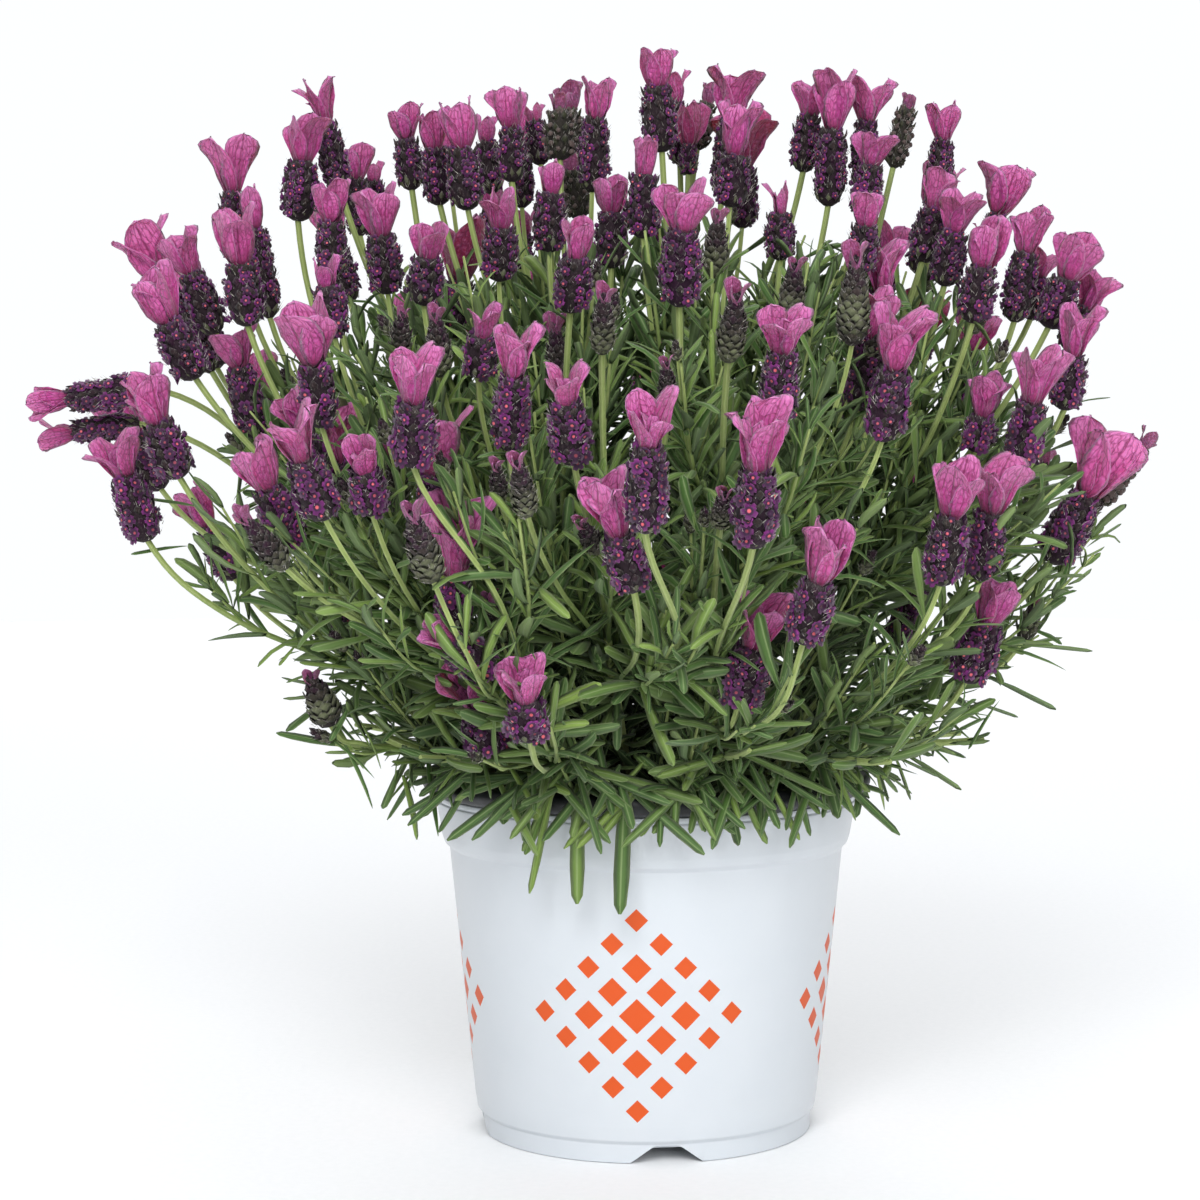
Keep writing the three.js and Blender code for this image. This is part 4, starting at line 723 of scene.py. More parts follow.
STEM_BEND = 0.6
STEM_BEND_SHARE = 0.45
NECK_PART = 0.08
LOW_STEMS = 12
LOW_REACHES = (106, 132)
LOW_HEIGHTS = (160, 170)
LOW_KNEE = (56, 82.3, 159.5)
LOW_NUDGE = 0.1
INNER_STEMS = 6
INNER_SLOPES = (14, 46)
INNER_REACHES = (150, 118)
INNER_NUDGE = 0.12
STEM_TRIES = 12
GOLDEN_PART = 0.618034
GOLDEN_ANGLE = 2.399963
DRAW_STEP, DRAW_TURN, DRAW_SPREAD = 12.9898, 78.233, 43758.5453
FOR_HEIGHT, FOR_REACH, FOR_LENGTH, FOR_WIDTH, FOR_BRACTS = 3, 4, 5, 6, 7
FOR_SWERVES = (31, 61, 91)
FOR_LOW_REACH, FOR_LOW_HEIGHT, FOR_NUDGE = 301, 302, 401
MAIN_RADII = (2.2, 1.5)
MAIN_END = 7
LEAFY_RADII = (1.8, 0.9)
LEAFY_END = 12
FLOWER_RADII = (0.95, 1.12)
SHOOT_RADII = (0.85, 0.5)
SHOOT_LENGTHS = (55, 118)
SHOOT_SPREAD = 0.3
SHOOT_LIFT = 0.3
SHOOT_STARTS = (0.08, 0.45)
SHOOT_SHORTENING = 0.85
SHORTEST_SHOOT = 0.025
SHOOTS_PER_STEM = 1.5
INNER_SHOOTS = 2
STEM_EASE = 0.3
STEM_STEPS = 7
FLOWER_STEPS = 8
SHOOT_STEPS = 4
HEAD_SEAT = 0.003
STRAIGHT_NECK = 0.06
END_ROUNDING = 0.04
LEAFY_HEIGHTS = (0.12, 0.135, 0.15, 0.165, 0.2, 0.23, 0.25, 0.275, 0.3, 0.33, 0.36, 0.378, 0.388)
LEAFY_REACHES = (0.09, 0.112, 0.126, 0.142, 0.174, 0.194, 0.2, 0.19, 0.175, 0.155, 0.12, 0.06, -0.03)
BUD_SHARE = 0.22
BUD_LENGTHS = (5.5, 9)
BUD_STOUTNESS = 0.29
BUD_SEAT = 0.001
STEM_CORNERS = 8
SHOOT_CORNERS = 6
STEM_SQUARENESS = 0.13
STEM_SHARP_EDGE = math.radians(60)
YOUNG_STEM = tint(142, 160, 88)
PALE_STEM = tint(180, 192, 132)
LOW_STEM = tint(92, 118, 54)
WOODY_STEM = tint(96, 84, 58)
draws = np.random.default_rng(11)


def unit(vector):
    """A vector of length 1 that points the same way"""
    return vector / np.linalg.norm(vector)


def between(ends, part):
    """The value at a part of the way from one end to the other"""
    return ends[0] + (ends[1] - ends[0]) * part


def set_draw(ends, item, purpose):
    """A value between two ends, always the same for an item and a purpose"""
    value = math.sin(item * DRAW_STEP + purpose * DRAW_TURN) * DRAW_SPREAD
    return between(ends, value - math.floor(value))


def in_view(column, row, depth):
    """The place of the front view's pixel at a depth behind the pot's axis"""
    pitch = math.atan2(CAMERA_HEIGHT - AIM_HEIGHT, CAMERA_DISTANCE)
    up = PICTURE_PIXELS / 2 - row
    forward = FOCAL_PIXELS * math.cos(pitch) + up * math.sin(pitch)
    rise = up * math.cos(pitch) - FOCAL_PIXELS * math.sin(pitch)
    reach = (depth + CAMERA_DISTANCE / MM) / forward
    return np.array(((column - AXIS_COLUMN) * reach, depth, CAMERA_HEIGHT / MM + rise * reach))


def rod(start, end, radius):
    """A straight piece of the plant as seven numbers: its two ends and its radius"""
    return np.array((*start, *end, radius))


def rods_along(points, radius):
    """Rods from each point to the next"""
    return [rod(start, end, radius) for start, end in zip(points, points[1:])]


def room(rods, others):
    """The least room between the rods of one list and those of another"""
    if not others:
        return math.inf
    rods, others = np.array(rods)[:, None], np.array(others)[None]
    w = rods[..., :3] - others[..., :3]
    u = rods[..., 3:6] - rods[..., :3]
    v = others[..., 3:6] - others[..., :3]
    uu, uv, vv, uw, vw = ((a * b).sum(-1) for a, b in ((u, u), (u, v), (v, v), (u, w), (v, w)))
    square = uu * vv - uv * uv
    s = np.where(square > 1e-9, np.clip((uv * vw - vv * uw) / np.maximum(square, 1e-9), 0, 1), 0)
    t = np.clip((uv * s + vw) / vv, 0, 1)
    s = np.clip((uv * t - uw) / uu, 0, 1)
    distance = np.linalg.norm(w + u * s[..., None] - v * t[..., None], axis=-1)
    return (distance - rods[..., 6] - others[..., 6]).min()


def room_at_pot(rods):
    """The least room between rods and the pot's lip and the mix"""
    least = math.inf
    for piece in rods:
        for part in np.linspace(0, 1, 13):
            x, y, z = between((piece[:3], piece[3:6]), part)
            away = math.hypot(x, y)
            inside = min(LIP_RADII[0] - away, z - MIX_CROWN)
            least = min(least, max(z - LIP_HEIGHT, away - LIP_RADII[1], inside) - piece[6])
    return least


class Head:
    """A head or bud, with the directions along it, to its side and across it"""

    def __init__(self, foot, tip, bract_part, radius, spread, tone, turn=0.0):
        self.foot, self.tip, self.bract_part, self.radius = foot, tip, bract_part, radius
        self.spread, self.tone, self.turn = spread, tone, turn
        self.length = np.linalg.norm(tip - foot)
        self.axis = unit(tip - foot)
        self.side = level_side(self.axis)
        self.across = np.cross(self.axis, self.side)
        self.neck = tip + (foot - tip) * bract_part
        self.spike = np.linalg.norm(self.neck - foot)

    def out(self, angle):
        """The way out from the head's axis at an angle round it"""
        return self.side * math.cos(angle) + self.across * math.sin(angle)

    def rods(self):
        """The spike and the bracts as rods"""
        spike = rod(self.foot, self.neck, self.radius)
        if self.bract_part == 0:
            return [spike]
        return [spike, rod(between((self.neck, self.tip), WIDE_PART), self.tip, self.spread)]


def head_in_view(row, share):
    """A head of the front view, at a share of the dome's depth"""
    foot_column, foot_row, tip_column, tip_row, _, bract_part, width, spread, tone = row
    depth = 0
    for _ in range(3):
        x, _, z = in_view(tip_column, tip_row, depth)
        reach = np.interp(z, DOME_HEIGHTS, DOME_REACHES)
        depth = share * math.sqrt(max(LEAST_DEPTH ** 2, reach ** 2 - (x - DOME_CENTRE) ** 2))
    foot, tip = in_view(foot_column, foot_row, depth * FOOT_DEPTH), in_view(tip_column, tip_row, depth)
    half_pixel = (CAMERA_DISTANCE / MM + depth) / FOCAL_PIXELS / 2
    return Head(foot, tip, bract_part, width * half_pixel, max(LEAST_SPREAD, spread * half_pixel), tone)


def head_at_back(k, nudge):
    """A head at the back, which the front view doesn't show"""
    azimuth = math.radians(between(BACK_AZIMUTHS, (k * GOLDEN_PART + 0.2) % 1) + nudge)
    height = between(BACK_HEIGHTS, (k + set_draw((0, 1), k, FOR_HEIGHT)) / BACK_HEADS)
    away = np.interp(height, DOME_HEIGHTS, DOME_REACHES) * set_draw(BACK_REACHES, k, FOR_REACH)
    tip = np.array((DOME_CENTRE + math.cos(azimuth) * away, math.sin(azimuth) * away, height))
    lean = unit(unit(tip - CROWN) + np.array((0, 0, BACK_UPRIGHTNESS)))
    foot = tip - lean * set_draw(BACK_LENGTHS, k, FOR_LENGTH)
    width = set_draw(BACK_WIDTHS, k, FOR_WIDTH)
    return Head(foot, tip, set_draw(BACK_BRACTS, k, FOR_BRACTS), width / 2, width * BACK_SPREAD, 1)


def set_out_heads():
    """Heads at their own depth, or at the nearest that is clear of the heads before them"""
    choices = [[head_in_view(row, min(1, max(-1, row[4] + nudge))) for nudge in DEPTH_NUDGES]
               for row in HEADS]
    choices += [[head_at_back(k, nudge) for nudge in BACK_NUDGES] for k in range(BACK_HEADS)]
    heads, taken = [], []
    for choice in choices:
        rooms = [room(head.rods(), taken) for head in choice]
        clear = [head for head, free in zip(choice, rooms) if free > ROOM]
        heads.append(clear[0] if clear else choice[int(np.argmax(rooms))])
        taken += heads[-1].rods()
    return heads


def stem_ways(ways):
    """Ways of the main stems from the crown, each settled on the middle of the heads nearest to it"""
    centres = [ways[0]]
    while len(centres) < MAIN_STEMS:
        centres.append(ways[np.argmin((ways @ np.array(centres).T).max(axis=1))])
    for _ in range(SETTLING_ROUNDS):
        nearest = (ways @ np.array(centres).T).argmax(axis=1)
        centres = [unit(ways[nearest == k].sum(axis=0)) for k in range(MAIN_STEMS)]
    return np.array(centres)


def main_stem(way, reach):
    """Root, knee and fork of a stem that sets out this way, raised where it has to pass over the lip"""
    slope = math.hypot(way[0], way[1])
    height_at_lip = CROWN[2] + LIP_RADII[1] * way[2] / slope
    lift = np.array((0, 0, max(0, LIP_HEIGHT + LIP_PASSING - height_at_lip)))
    above_mix = (MIX_CROWN + KNEE_RISE - CROWN[2]) / way[2]
    knee_reach = min(max(reach / 2, above_mix), KNEE_REACH / slope)
    root = CROWN + way * (ROOT_HEIGHT - CROWN[2]) / way[2]
    fork = CROWN + way * max(reach, knee_reach + FORK_RISE) + lift * FORK_LIFT
    return [root, CROWN + way * knee_reach + lift, fork]


def flower_stem(head, base, swerve):
    """A flower stem leaves the main stem, and comes to its head along the head's own axis"""
    straight = between((base, head.foot), STEM_BEND)
    in_line = head.foot - head.axis * (1 - STEM_BEND) * np.linalg.norm(base - head.foot)
    return [base, between((straight, in_line), STEM_BEND_SHARE) + swerve, head.foot]


def join_stem(i, heads, order, stems):
    """Joins a head to the first main stem in order that can carry it clear of the rest"""
    others = [piece for other in heads if other is not heads[i] for piece in other.rods()]
    most = -math.inf
    for stem in [stems[k] for k in order[:STEMS_TRIED]]:
        taken = [piece for other in stems if other is not stem for piece in other["rods"]]
        for turn in range(SWERVES):
            if most >= ROOM:
                break
            share = between(FORKS, (len(stem["flowers"]) * GOLDEN_PART + turn * FORK_SHIFT) % 1)
            sideways = [set_draw((-0.5, 0.5), i, purpose + turn) for purpose in FOR_SWERVES]
            swerve = np.array(sideways) * turn * SWERVE_STEP
            path = flower_stem(heads[i], between(stem["path"][1:], share), swerve)
            rods = rods_along(path, FLOWER_ROOM)
            outer = [rods[0], rod(path[1], between(path[:0:-1], NECK_PART), FLOWER_ROOM)]
            free = min(room(rods, taken), room(outer, others), room_at_pot(rods))
            if free > most:
                most, best = free, (stem, path, rods)
    stem, path, rods = best
    stem["flowers"].append((heads[i], path))
    stem["rods"] += rods


def set_out_stems(heads):
    """Main stems, each with the heads and flower stems that grow from it"""
    ways = np.array([unit(head.foot - CROWN) for head in heads])
    centres = stem_ways(ways)
    orders = np.argsort(-(ways @ centres.T), axis=1, kind="stable")
    stems = []
    for k, way in enumerate(centres):
        reaches = [np.linalg.norm(head.foot - CROWN) for head, order in zip(heads, orders) if order[0] == k]
        path = main_stem(way, FORK_SHARE * sum(reaches) / len(reaches))
        stems.append({"path": path, "flowers": [], "rods": rods_along(path, MAIN_ROOM)})
    for i, order in enumerate(orders):
        join_stem(i, heads, order, stems)
    return [stem for stem in stems if stem["flowers"]]


def low_stem(k, nudge):
    """A leafy stem that rises from the mix, passes over the lip and hangs outwards"""
    azimuth = (k + 0.5 + nudge) * 2 * math.pi / LOW_STEMS
    root_reach, knee_reach, knee_height = LOW_KNEE
    end_reach, end_height = set_draw(LOW_REACHES, k, FOR_LOW_REACH), set_draw(LOW_HEIGHTS, k, FOR_LOW_HEIGHT)
    places = ((root_reach, ROOT_HEIGHT), (knee_reach, knee_height), (end_reach, end_height))
    return [np.array((away * math.cos(azimuth), away * math.sin(azimuth), height)) for away, height in places]


def inner_stem(k, nudge):
    """A leafy stem that stands in the plant, between the flowering ones"""
    part = (k + 0.5) / INNER_STEMS
    azimuth, slope = k * GOLDEN_ANGLE + nudge, math.radians(between(INNER_SLOPES, part))
    level = math.sin(slope)
    way = np.array((level * math.cos(azimuth), level * math.sin(azimuth), math.cos(slope)))
    return main_stem(way, between(INNER_REACHES, part))


def set_out_leafy_stems(stems):
    """Leafy stems in the places that the flowering ones leave free"""
    taken = [piece for stem in stems for piece in stem["rods"]]
    taken += [piece for stem in stems for head, _ in stem["flowers"] for piece in head.rods()]
    placed = []
    for make, count, size in ((low_stem, LOW_STEMS, LOW_NUDGE), (inner_stem, INNER_STEMS, INNER_NUDGE)):
        for k in range(count):
            for turn in range(STEM_TRIES):
                path = make(k, size * turn * set_draw((-0.5, 0.5), k, FOR_NUDGE + turn))
                rods = rods_along(path, MAIN_ROOM)
                if room(rods, taken) > ROOM:
                    placed.append(path)
                    taken += rods
                    break
    return placed


def planted(places):
    """Places about the pot's axis in millimetres, as places of the frame"""
    return np.array(places) * MM + POT_AXIS


def square_to(way, axis):
    """The direction square to an axis that lies nearest to a given way"""
    return unit(way - axis * np.dot(way, axis))


def level_side(axis):
    """A direction square to an axis, near the x axis or else the y axis"""
    return square_to(np.array((1.0, 0, 0) if abs(axis[0]) < 0.8 else (0, 1.0, 0)), axis)


def way_round(axis, side, angle):
    """The way out from an axis at an angle round it, from its side"""
    return side * math.cos(angle) + np.cross(axis, side) * math.sin(angle)


def smooth_path(points, steps, lead=None, tail=None):
    """A smooth line through the points, which sets out as from the lead and ends as towards the tail"""
    lead = 2 * points[0] - points[1] if lead is None else lead
    tail = 2 * points[-1] - points[-2] if tail is None else tail
    whole = [lead, *points, tail]
    made = []
    for a, b, c, d in zip(whole, whole[1:], whole[2:], whole[3:]):
        for t in np.arange(steps) / steps:
            made.append(0.5 * (2 * b + (c - a) * t + (2 * a - 5 * b + 4 * c - d) * t ** 2
                               + (3 * b - 3 * c + d - a) * t ** 3))
    return np.array(made + [points[-1]])


def stem_path(points, end):
    """The line of a main or leafy stem, carried on past its last point"""
    last = points[2] + unit(points[2] - points[1]) * end * MM
    return smooth_path([points[0], points[1], points[2], last], STEM_STEPS)


def drawn(ends):
    """A value drawn between two ends"""
    return between(ends, draws.random())


def planted_flower(stem, head, path):
    """A head in its place in the frame, and the smooth path of its stem"""
    (_, knee, _), (base, middle, foot) = planted(stem["path"]), planted(path)
    head = Head(foot, planted(head.tip), head.bract_part, head.radius * MM, head.spread * MM, head.tone,
                draws.random())
    middle = between((middle, (base + foot) / 2), STEM_EASE)
    path = smooth_path([base, middle, foot], FLOWER_STEPS, knee, foot + head.axis * STRAIGHT_NECK)
    return head, np.vstack((path, foot + head.axis * HEAD_SEAT))


def leafy_here(place, slack=0.0):
    """Whether a place lies inside the plant's leafy dome"""
    return np.hypot(*(place - POT_AXIS)[:2]) < np.interp(place[2], LEAFY_HEIGHTS, LEAFY_REACHES) + slack


def shoot_path(path):
    """A leafy side shoot that leaves a flower stem low down, and rises beside it inside the leafy dome"""
    start = int(drawn(SHOOT_STARTS) * len(path))
    axis = unit(path[start + 2] - path[start])
    angle = draws.random() * 2 * math.pi
    side = level_side(axis)
    out = way_round(axis, side, angle)
    length = drawn(SHOOT_LENGTHS) * MM
    while True:
        middle = path[start] + (axis + out * SHOOT_SPREAD) * length * 0.5
        end = middle + (axis + out * SHOOT_SPREAD * 0.3 + np.array((0, 0, SHOOT_LIFT))) * length * 0.5
        if leafy_here(end, -0.01) or length < SHORTEST_SHOOT:
            return smooth_path([path[start], middle, end], SHOOT_STEPS)
        length *= SHOOT_SHORTENING


def blunt_ended(path):
    """A path with a point close to each end, where its end face is rounded off"""
    first = path[0] + (path[1] - path[0]) * END_ROUNDING
    last = path[-1] + (path[-2] - path[-1]) * END_ROUNDING
    return np.vstack((path[0], first, path[1:-1], last, path[-1]))


def keep_values(mesh, kind, **columns):
    """Keeps columns of numbers or vectors on the points of a mesh"""
    field = "vector" if kind == "FLOAT_VECTOR" else "value"
    for name, values in columns.items():
        values = np.asarray(values).astype(np.int32 if kind == "INT" else np.float32)
        mesh.attributes.new(name, kind, "POINT").data.foreach_set(field, values.ravel())


def paths_mesh(paths, radii):
    """Bare edges along the paths, with the radius and the number of the stem at each point"""
    mesh = bpy.data.meshes.new("paths")
    edges, thick, strip, start = [], [], [], 0
    paths = [blunt_ended(path) for path in paths]
    for k, path in enumerate(paths):
        count = len(path)
        edges += [(start + n, start + n + 1) for n in range(count - 1)]
        widths = np.linspace(*radii, count) * MM
        widths[0] = widths[-1] = 0
        thick.append(widths)
        strip.append(np.full(count, k))
        start += count
    mesh.from_pydata(np.concatenate(paths).tolist(), edges, [])
    keep_values(mesh, "FLOAT", thick=np.concatenate(thick), strip=np.concatenate(strip))
    return mesh


stems_tree, wire, given = new_tree("square_stems", {
    "Geometry": "Geometry", "Material": "Material", "Corners": "Int", "Squareness": "Float", "Stems": "Int"})
factor = wire.node("GeometryNodeSplineParameter")
lines = store(wire, wire.node("GeometryNodeMeshToCurve", {}, {0: given["Geometry"]}), "along", factor)
ring = wire.node("GeometryNodeCurveSpiral", {}, {0: given["Corners"], 1: 1.0, 2: 1.0, 3: 1.0, 4: 0.0})
ring = store(wire, ring, "around", factor)
stretch = (factor * 8 * math.pi).of("COSINE") * given["Squareness"] + 1
corner_place = wire.node("GeometryNodeInputPosition") * stretch
ring = wire.node("GeometryNodeSetPosition", {}, {0: ring, 2: corner_place})
tube = wire.node("GeometryNodeCurveToMesh", {}, {0: lines, 1: ring, "Scale": named(wire, "thick")})
over = (named(wire, "strip") + 0.08 + named(wire, "around") * 0.84) / given["Stems"]
spot = joined(wire, over, named(wire, "along") * 0.98 + 0.01, 0.0)
tube = store(wire, tube, "OFBake", spot, "FLOAT2", "CORNER")
closed = wire.node("GeometryNodeMergeByDistance", {}, {0: tube, 2: 0.00001})
close_tree(wire, closed, given["Material"])


def grown_stems(name, paths, radii, material, corners=STEM_CORNERS):
    """Stems of one kind along their paths, as one piece"""
    host = add_object("host", paths_mesh(paths, radii))
    made = grown(name, host, stems_tree, {"Material": material, "Corners": corners, "Stems": len(paths),
                                          "Squareness": STEM_SQUARENESS})
    made.data.shade_smooth()
    made.data.set_sharp_from_angle(angle=STEM_SHARP_EDGE)
    finished(made, material, "lavender_leaf", *sprays, *leafy_nodes)


def stem_finish(name, low, high):
    """Green stem skin with fine lengthwise ridges, from one colour at its foot to another at its top"""
    material, wire = new_finish(name, Specular_IOR_Level=0.35, Sheen_Weight=0.15)
    place = wire.place()
    along = wire.attribute("along")
    ridges = (wire.attribute("around") * 8 * math.pi).of("COSINE") * 0.5 + 0.5
    streaks = (place * (1.0, 1.0, 0.25)).noise(500.0, 3.0)
    tone = (along + (streaks - 0.5) * 0.5).grade(0.0, 0.9).tones(low, high)
    tone = ((ridges * 0.45 + (streaks - 0.5) * 0.7) * along.grade(0.2, 0.8)).tones(tone, PALE_STEM)
    paint(wire, Base_Color=tone,
          Roughness=0.5 + streaks * 0.25,
          Normal=(ridges + streaks * 0.5).bump(0.4, 0.0003))
    return material


sprays = [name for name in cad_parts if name.startswith("flowering_spray")]
leafy_nodes = [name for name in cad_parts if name.startswith("leafy_stem")]
main_stems = set_out_stems(set_out_heads())
main_paths = [stem_path(planted(stem["path"]), MAIN_END) for stem in main_stems]
leafy_paths = [stem_path(planted(path), LEAFY_END) for path in set_out_leafy_stems(main_stems)]
grown_flowers = [planted_flower(stem, *flower) for stem in main_stems for flower in stem["flowers"]]
flowers, flower_paths = (list(part) for part in zip(*grown_flowers))
shoot_hosts = [path for path in flower_paths for _ in range(int(draws.random() + SHOOTS_PER_STEM))]
shoot_hosts += main_paths * INNER_SHOOTS
shoot_paths = [shoot_path(path) for path in shoot_hosts]
for path in shoot_paths:
    if draws.random() < BUD_SHARE:
        way = unit(path[-1] - path[-2])
        length = drawn(BUD_LENGTHS) * MM
        foot, tip = path[-1] - way * BUD_SEAT, path[-1] + way * length
        flowers.append(Head(foot, tip, 0, length * BUD_STOUTNESS, 0, 1, draws.random()))
woody_stem = stem_finish("woody_stem", WOODY_STEM, YOUNG_STEM)
green_stem = stem_finish("green_stem", LOW_STEM, YOUNG_STEM)
grown_stems("main_stems", main_paths, MAIN_RADII, woody_stem)
grown_stems("leafy_stems", leafy_paths, LEAFY_RADII, green_stem)
grown_stems("flower_stems", flower_paths, FLOWER_RADII, green_stem)
grown_stems("side_shoots", shoot_paths, SHOOT_RADII, green_stem, SHOOT_CORNERS)

# Leaves. Narrow blunt grey-green leaves stand in pairs on the stems, each pair turned a quarter from the
# last, with tufts of young leaves in their axils. They have pale edges and a groove along the midrib.

# Leaves at the pot's edge and at the plant's sides, in pixels of the front view. Each row: foot column, foot
# row, tip column, tip row and width, and at the sides the depths of foot and tip too, in millimetres.
RIM_LEAVES = [
    (578.6, 822, 577, 902, 14), (627, 816, 620, 909, 15), (558, 826, 530, 891, 9), (556, 803, 523, 859, 12),
    (560, 826, 520, 855, 9), (516, 771, 502, 828, 14), (537, 790, 536, 820, 11), (478, 790, 441, 829, 9),
    (446, 775, 453, 808, 12), (521, 813, 527, 842, 12), (671, 803, 639, 839, 8), (735, 813, 765, 840, 9),
    (767, 819, 799, 839, 7), (758, 803, 761, 836, 9), (795, 775, 786, 828, 8), (834, 768, 822, 818, 9),
    (751, 794, 714, 817, 8), (677, 810, 738, 836, 8), (594, 725, 612, 812, 9), (790, 790, 818, 812, 7),
    (838, 780, 872, 793, 6), (640, 800, 600, 838, 9), (690, 795, 655, 830, 9), (470, 770, 447, 800, 9),
    (700, 800, 690, 833, 8), (590, 800, 572, 836, 10),
]
EDGE_LEAVES = [
    (1012, 646, 1095, 638, 8, -30, -30), (982, 675, 1058, 698, 7, -40, -40),
    (962, 700, 1024, 709, 8, -40, -45),
    (912, 737, 962, 749, 6, -50, -55), (893, 748, 966, 779, 6, -55, -60), (880, 752, 946, 768, 9, -60, -60),
    (1046, 452, 1091, 428, 13, -20, -20), (1072, 404, 1106, 392, 5, 0, 0),
    (1086, 548, 1116, 520, 5, -30, -30),
    (190, 546, 131, 545, 4, -20, -30), (203, 508, 154, 492, 4, -20, -20), (330, 738, 386, 772, 8, -60, -70),
    (300, 640, 276, 663, 8, -50, -50), (330, 668, 283, 676, 7, -50, -55), (352, 700, 330, 737, 7, -60, -66),
    (1000, 700, 960, 745, 7, -50, -50), (300, 560, 232, 590, 6, -30, -30), (345, 745, 383, 800, 9, -62, -72),
    (403, 775, 427, 832, 9, -35, -45), (398, 770, 384, 807, 9, -30, -40), (360, 720, 392, 768, 8, -55, -60),
    (880, 770, 918, 790, 7, -40, -45), (905, 715, 930, 760, 7, -55, -60),
]
RIM_REACHES = (91, 101)
RIM_LEAF_FOOT = 155
RIM_STATIONS = (0, 0.06, 0.18, 0.4, 0.7, 0.93, 1)
RIM_LEAF_REACHES = (0.1, 0.115)
RIM_LEAF_FEET = (0.156, 0.168)
RIM_LEAF_TIPS = (0.13, 0.153)
RIM_LEAF_START = 0.091
RIM_LEAF_TURNS = (-0.38, 0.38)
RIM_CROWDING = 0.5
RIM_SIDES = 0.8
RIM_GAPS = 0.6
LEAF_WIDTHS = (3.0, 4.5)
TUFT_WIDTHS = (1.7, 2.7)
LEAF_THICKNESS = 0.024
TUFT_THICKNESS = LEAF_THICKNESS * 1.4
LEAF_LANES = (-1, 0, 1)
LEAF_STATIONS = (0, 0.14, 0.42, 0.72, 0.93, 1)
TUFT_STATIONS = (0, 0.4, 0.86, 1)
LEAF_OUTLINE = ((0, 0.14, 0.42, 0.72, 0.93, 1), (0.42, 0.68, 0.96, 1, 0.76, 0.2))
LEAF_BENDS = (0.3, 0.8, 1.2, -0.5, 0.12)
TUFT_BENDS = (0.2, 0.7, -0.5)
LEAF_SICKLES = (0.1, -0.16, 0.07, -0.12, 0.2)
TUFT_SICKLE = 0.03
LEAF_GROOVE = 0.03
BLADE_PARTS = (0.35, 0.7, 1.0)
DOME_FRAY = (-0.008, 0.008)
PAIR_TURNS = (-0.3, 0.3)
QUARTER_TURNS = (-0.2, 0.2)
LEAN_SPREAD = (-13, 13)
LENGTH_SPREAD = (0.75, 1.12)
SPACING_SPREAD = (0.8, 1.2)
BARE_ENDS = (42, 78)
FULL_LEAF = 0.026
TUFT_TURNS = (-0.9, 0.9)
TUFT_LEANS = (14, 52)
RIM_ARCH = 0.3
RIM_LEAF_COUNT = 130
LEAF_FORMS = len(LEAF_BENDS)
LEAF_PIECES = 6
LEAF_GREEN = tint(62, 96, 36)
LEAF_YELLOW = tint(124, 150, 68)
LEAF_GREY = tint(94, 120, 74)
# Painted shade: the colour that leaves deep inside the plant are darkened towards
LEAF_PAINTED_SHADE = tint(26, 46, 18)
LEAF_EDGE = tint(160, 178, 124)
LEAF_FELT = tint(134, 152, 110)
LIP_OUTER = 95.5 * MM
LIP_INNER = 83 * MM
MIX_TOP = 137 * MM


def thin_piece(name, stations, lanes, thickness, place):
    """A thin closed piece whose middle surface is place(s, t), at stations s along it from 0 to 1 and lanes t
    across it from -1 to 1. The side it faces has the left half of the map, and its back the right half."""
    s, t = np.meshgrid(stations, lanes, indexing="ij")
    middle = np.stack(place(s, t), axis=-1)
    normal = np.cross(np.gradient(middle, axis=1), np.gradient(middle, axis=0))
    normal /= np.maximum(np.linalg.norm(normal, axis=-1, keepdims=True), 1e-9)
    body = thickness / 2 * np.sqrt(1 - t ** 2) * np.sqrt(np.sin(math.pi * s).clip(0))
    made = bmesh.new()
    layer = made.loops.layers.uv.new("piece")
    for way, shift in ((1, 0.0), (-1, 0.5)):
        verts = [[made.verts.new(p) for p in line] for line in middle + way * normal * body[..., None]]
        for i in range(len(stations) - 1):
            for j in range(len(lanes) - 1):
                near, far = ((i, j), (i, j + 1), (i + 1, j + 1)), ((i, j), (i + 1, j + 1), (i + 1, j))
                for corners in (near[::way], far[::way]):
                    face = made.faces.new([verts[a][b] for a, b in corners])
                    for loop, (a, b) in zip(face.loops, corners):
                        loop[layer].uv = (shift + (lanes[b] + 1) / 4, stations[a])
    bmesh.ops.remove_doubles(made, verts=made.verts, dist=0.0005)
    return as_mesh(name, made, smooth=True)


def bent(s, bend):
    """The x and z of a strip that bends back towards its facing side by an angle over its length"""
    return (1 - np.cos(bend * s)) / bend, np.sin(bend * s) / bend


def leaf_place(bend, sickle):
    """A leaf that bends back, curves to one side and turns a little"""
    def place(s, t):
        width = np.interp(s, *LEAF_OUTLINE)
        x, z = bent(s, -bend)
        twist = 0.4 * sickle * s * t * width
        groove = LEAF_GROOVE * t ** 2 * np.sin(math.pi * s)
        return x + twist - groove, 0.5 * width * t + sickle * s ** 2 * 8, z
    return place


def rim_leaf_place(s, t):
    """A leaf that arches out over the lip before it hangs down"""
    groove = LEAF_GROOVE * t ** 2 * np.sin(math.pi * s)
    return RIM_ARCH * (np.sqrt(s) - s) - groove, 0.5 * np.interp(s, *LEAF_OUTLINE) * t, s


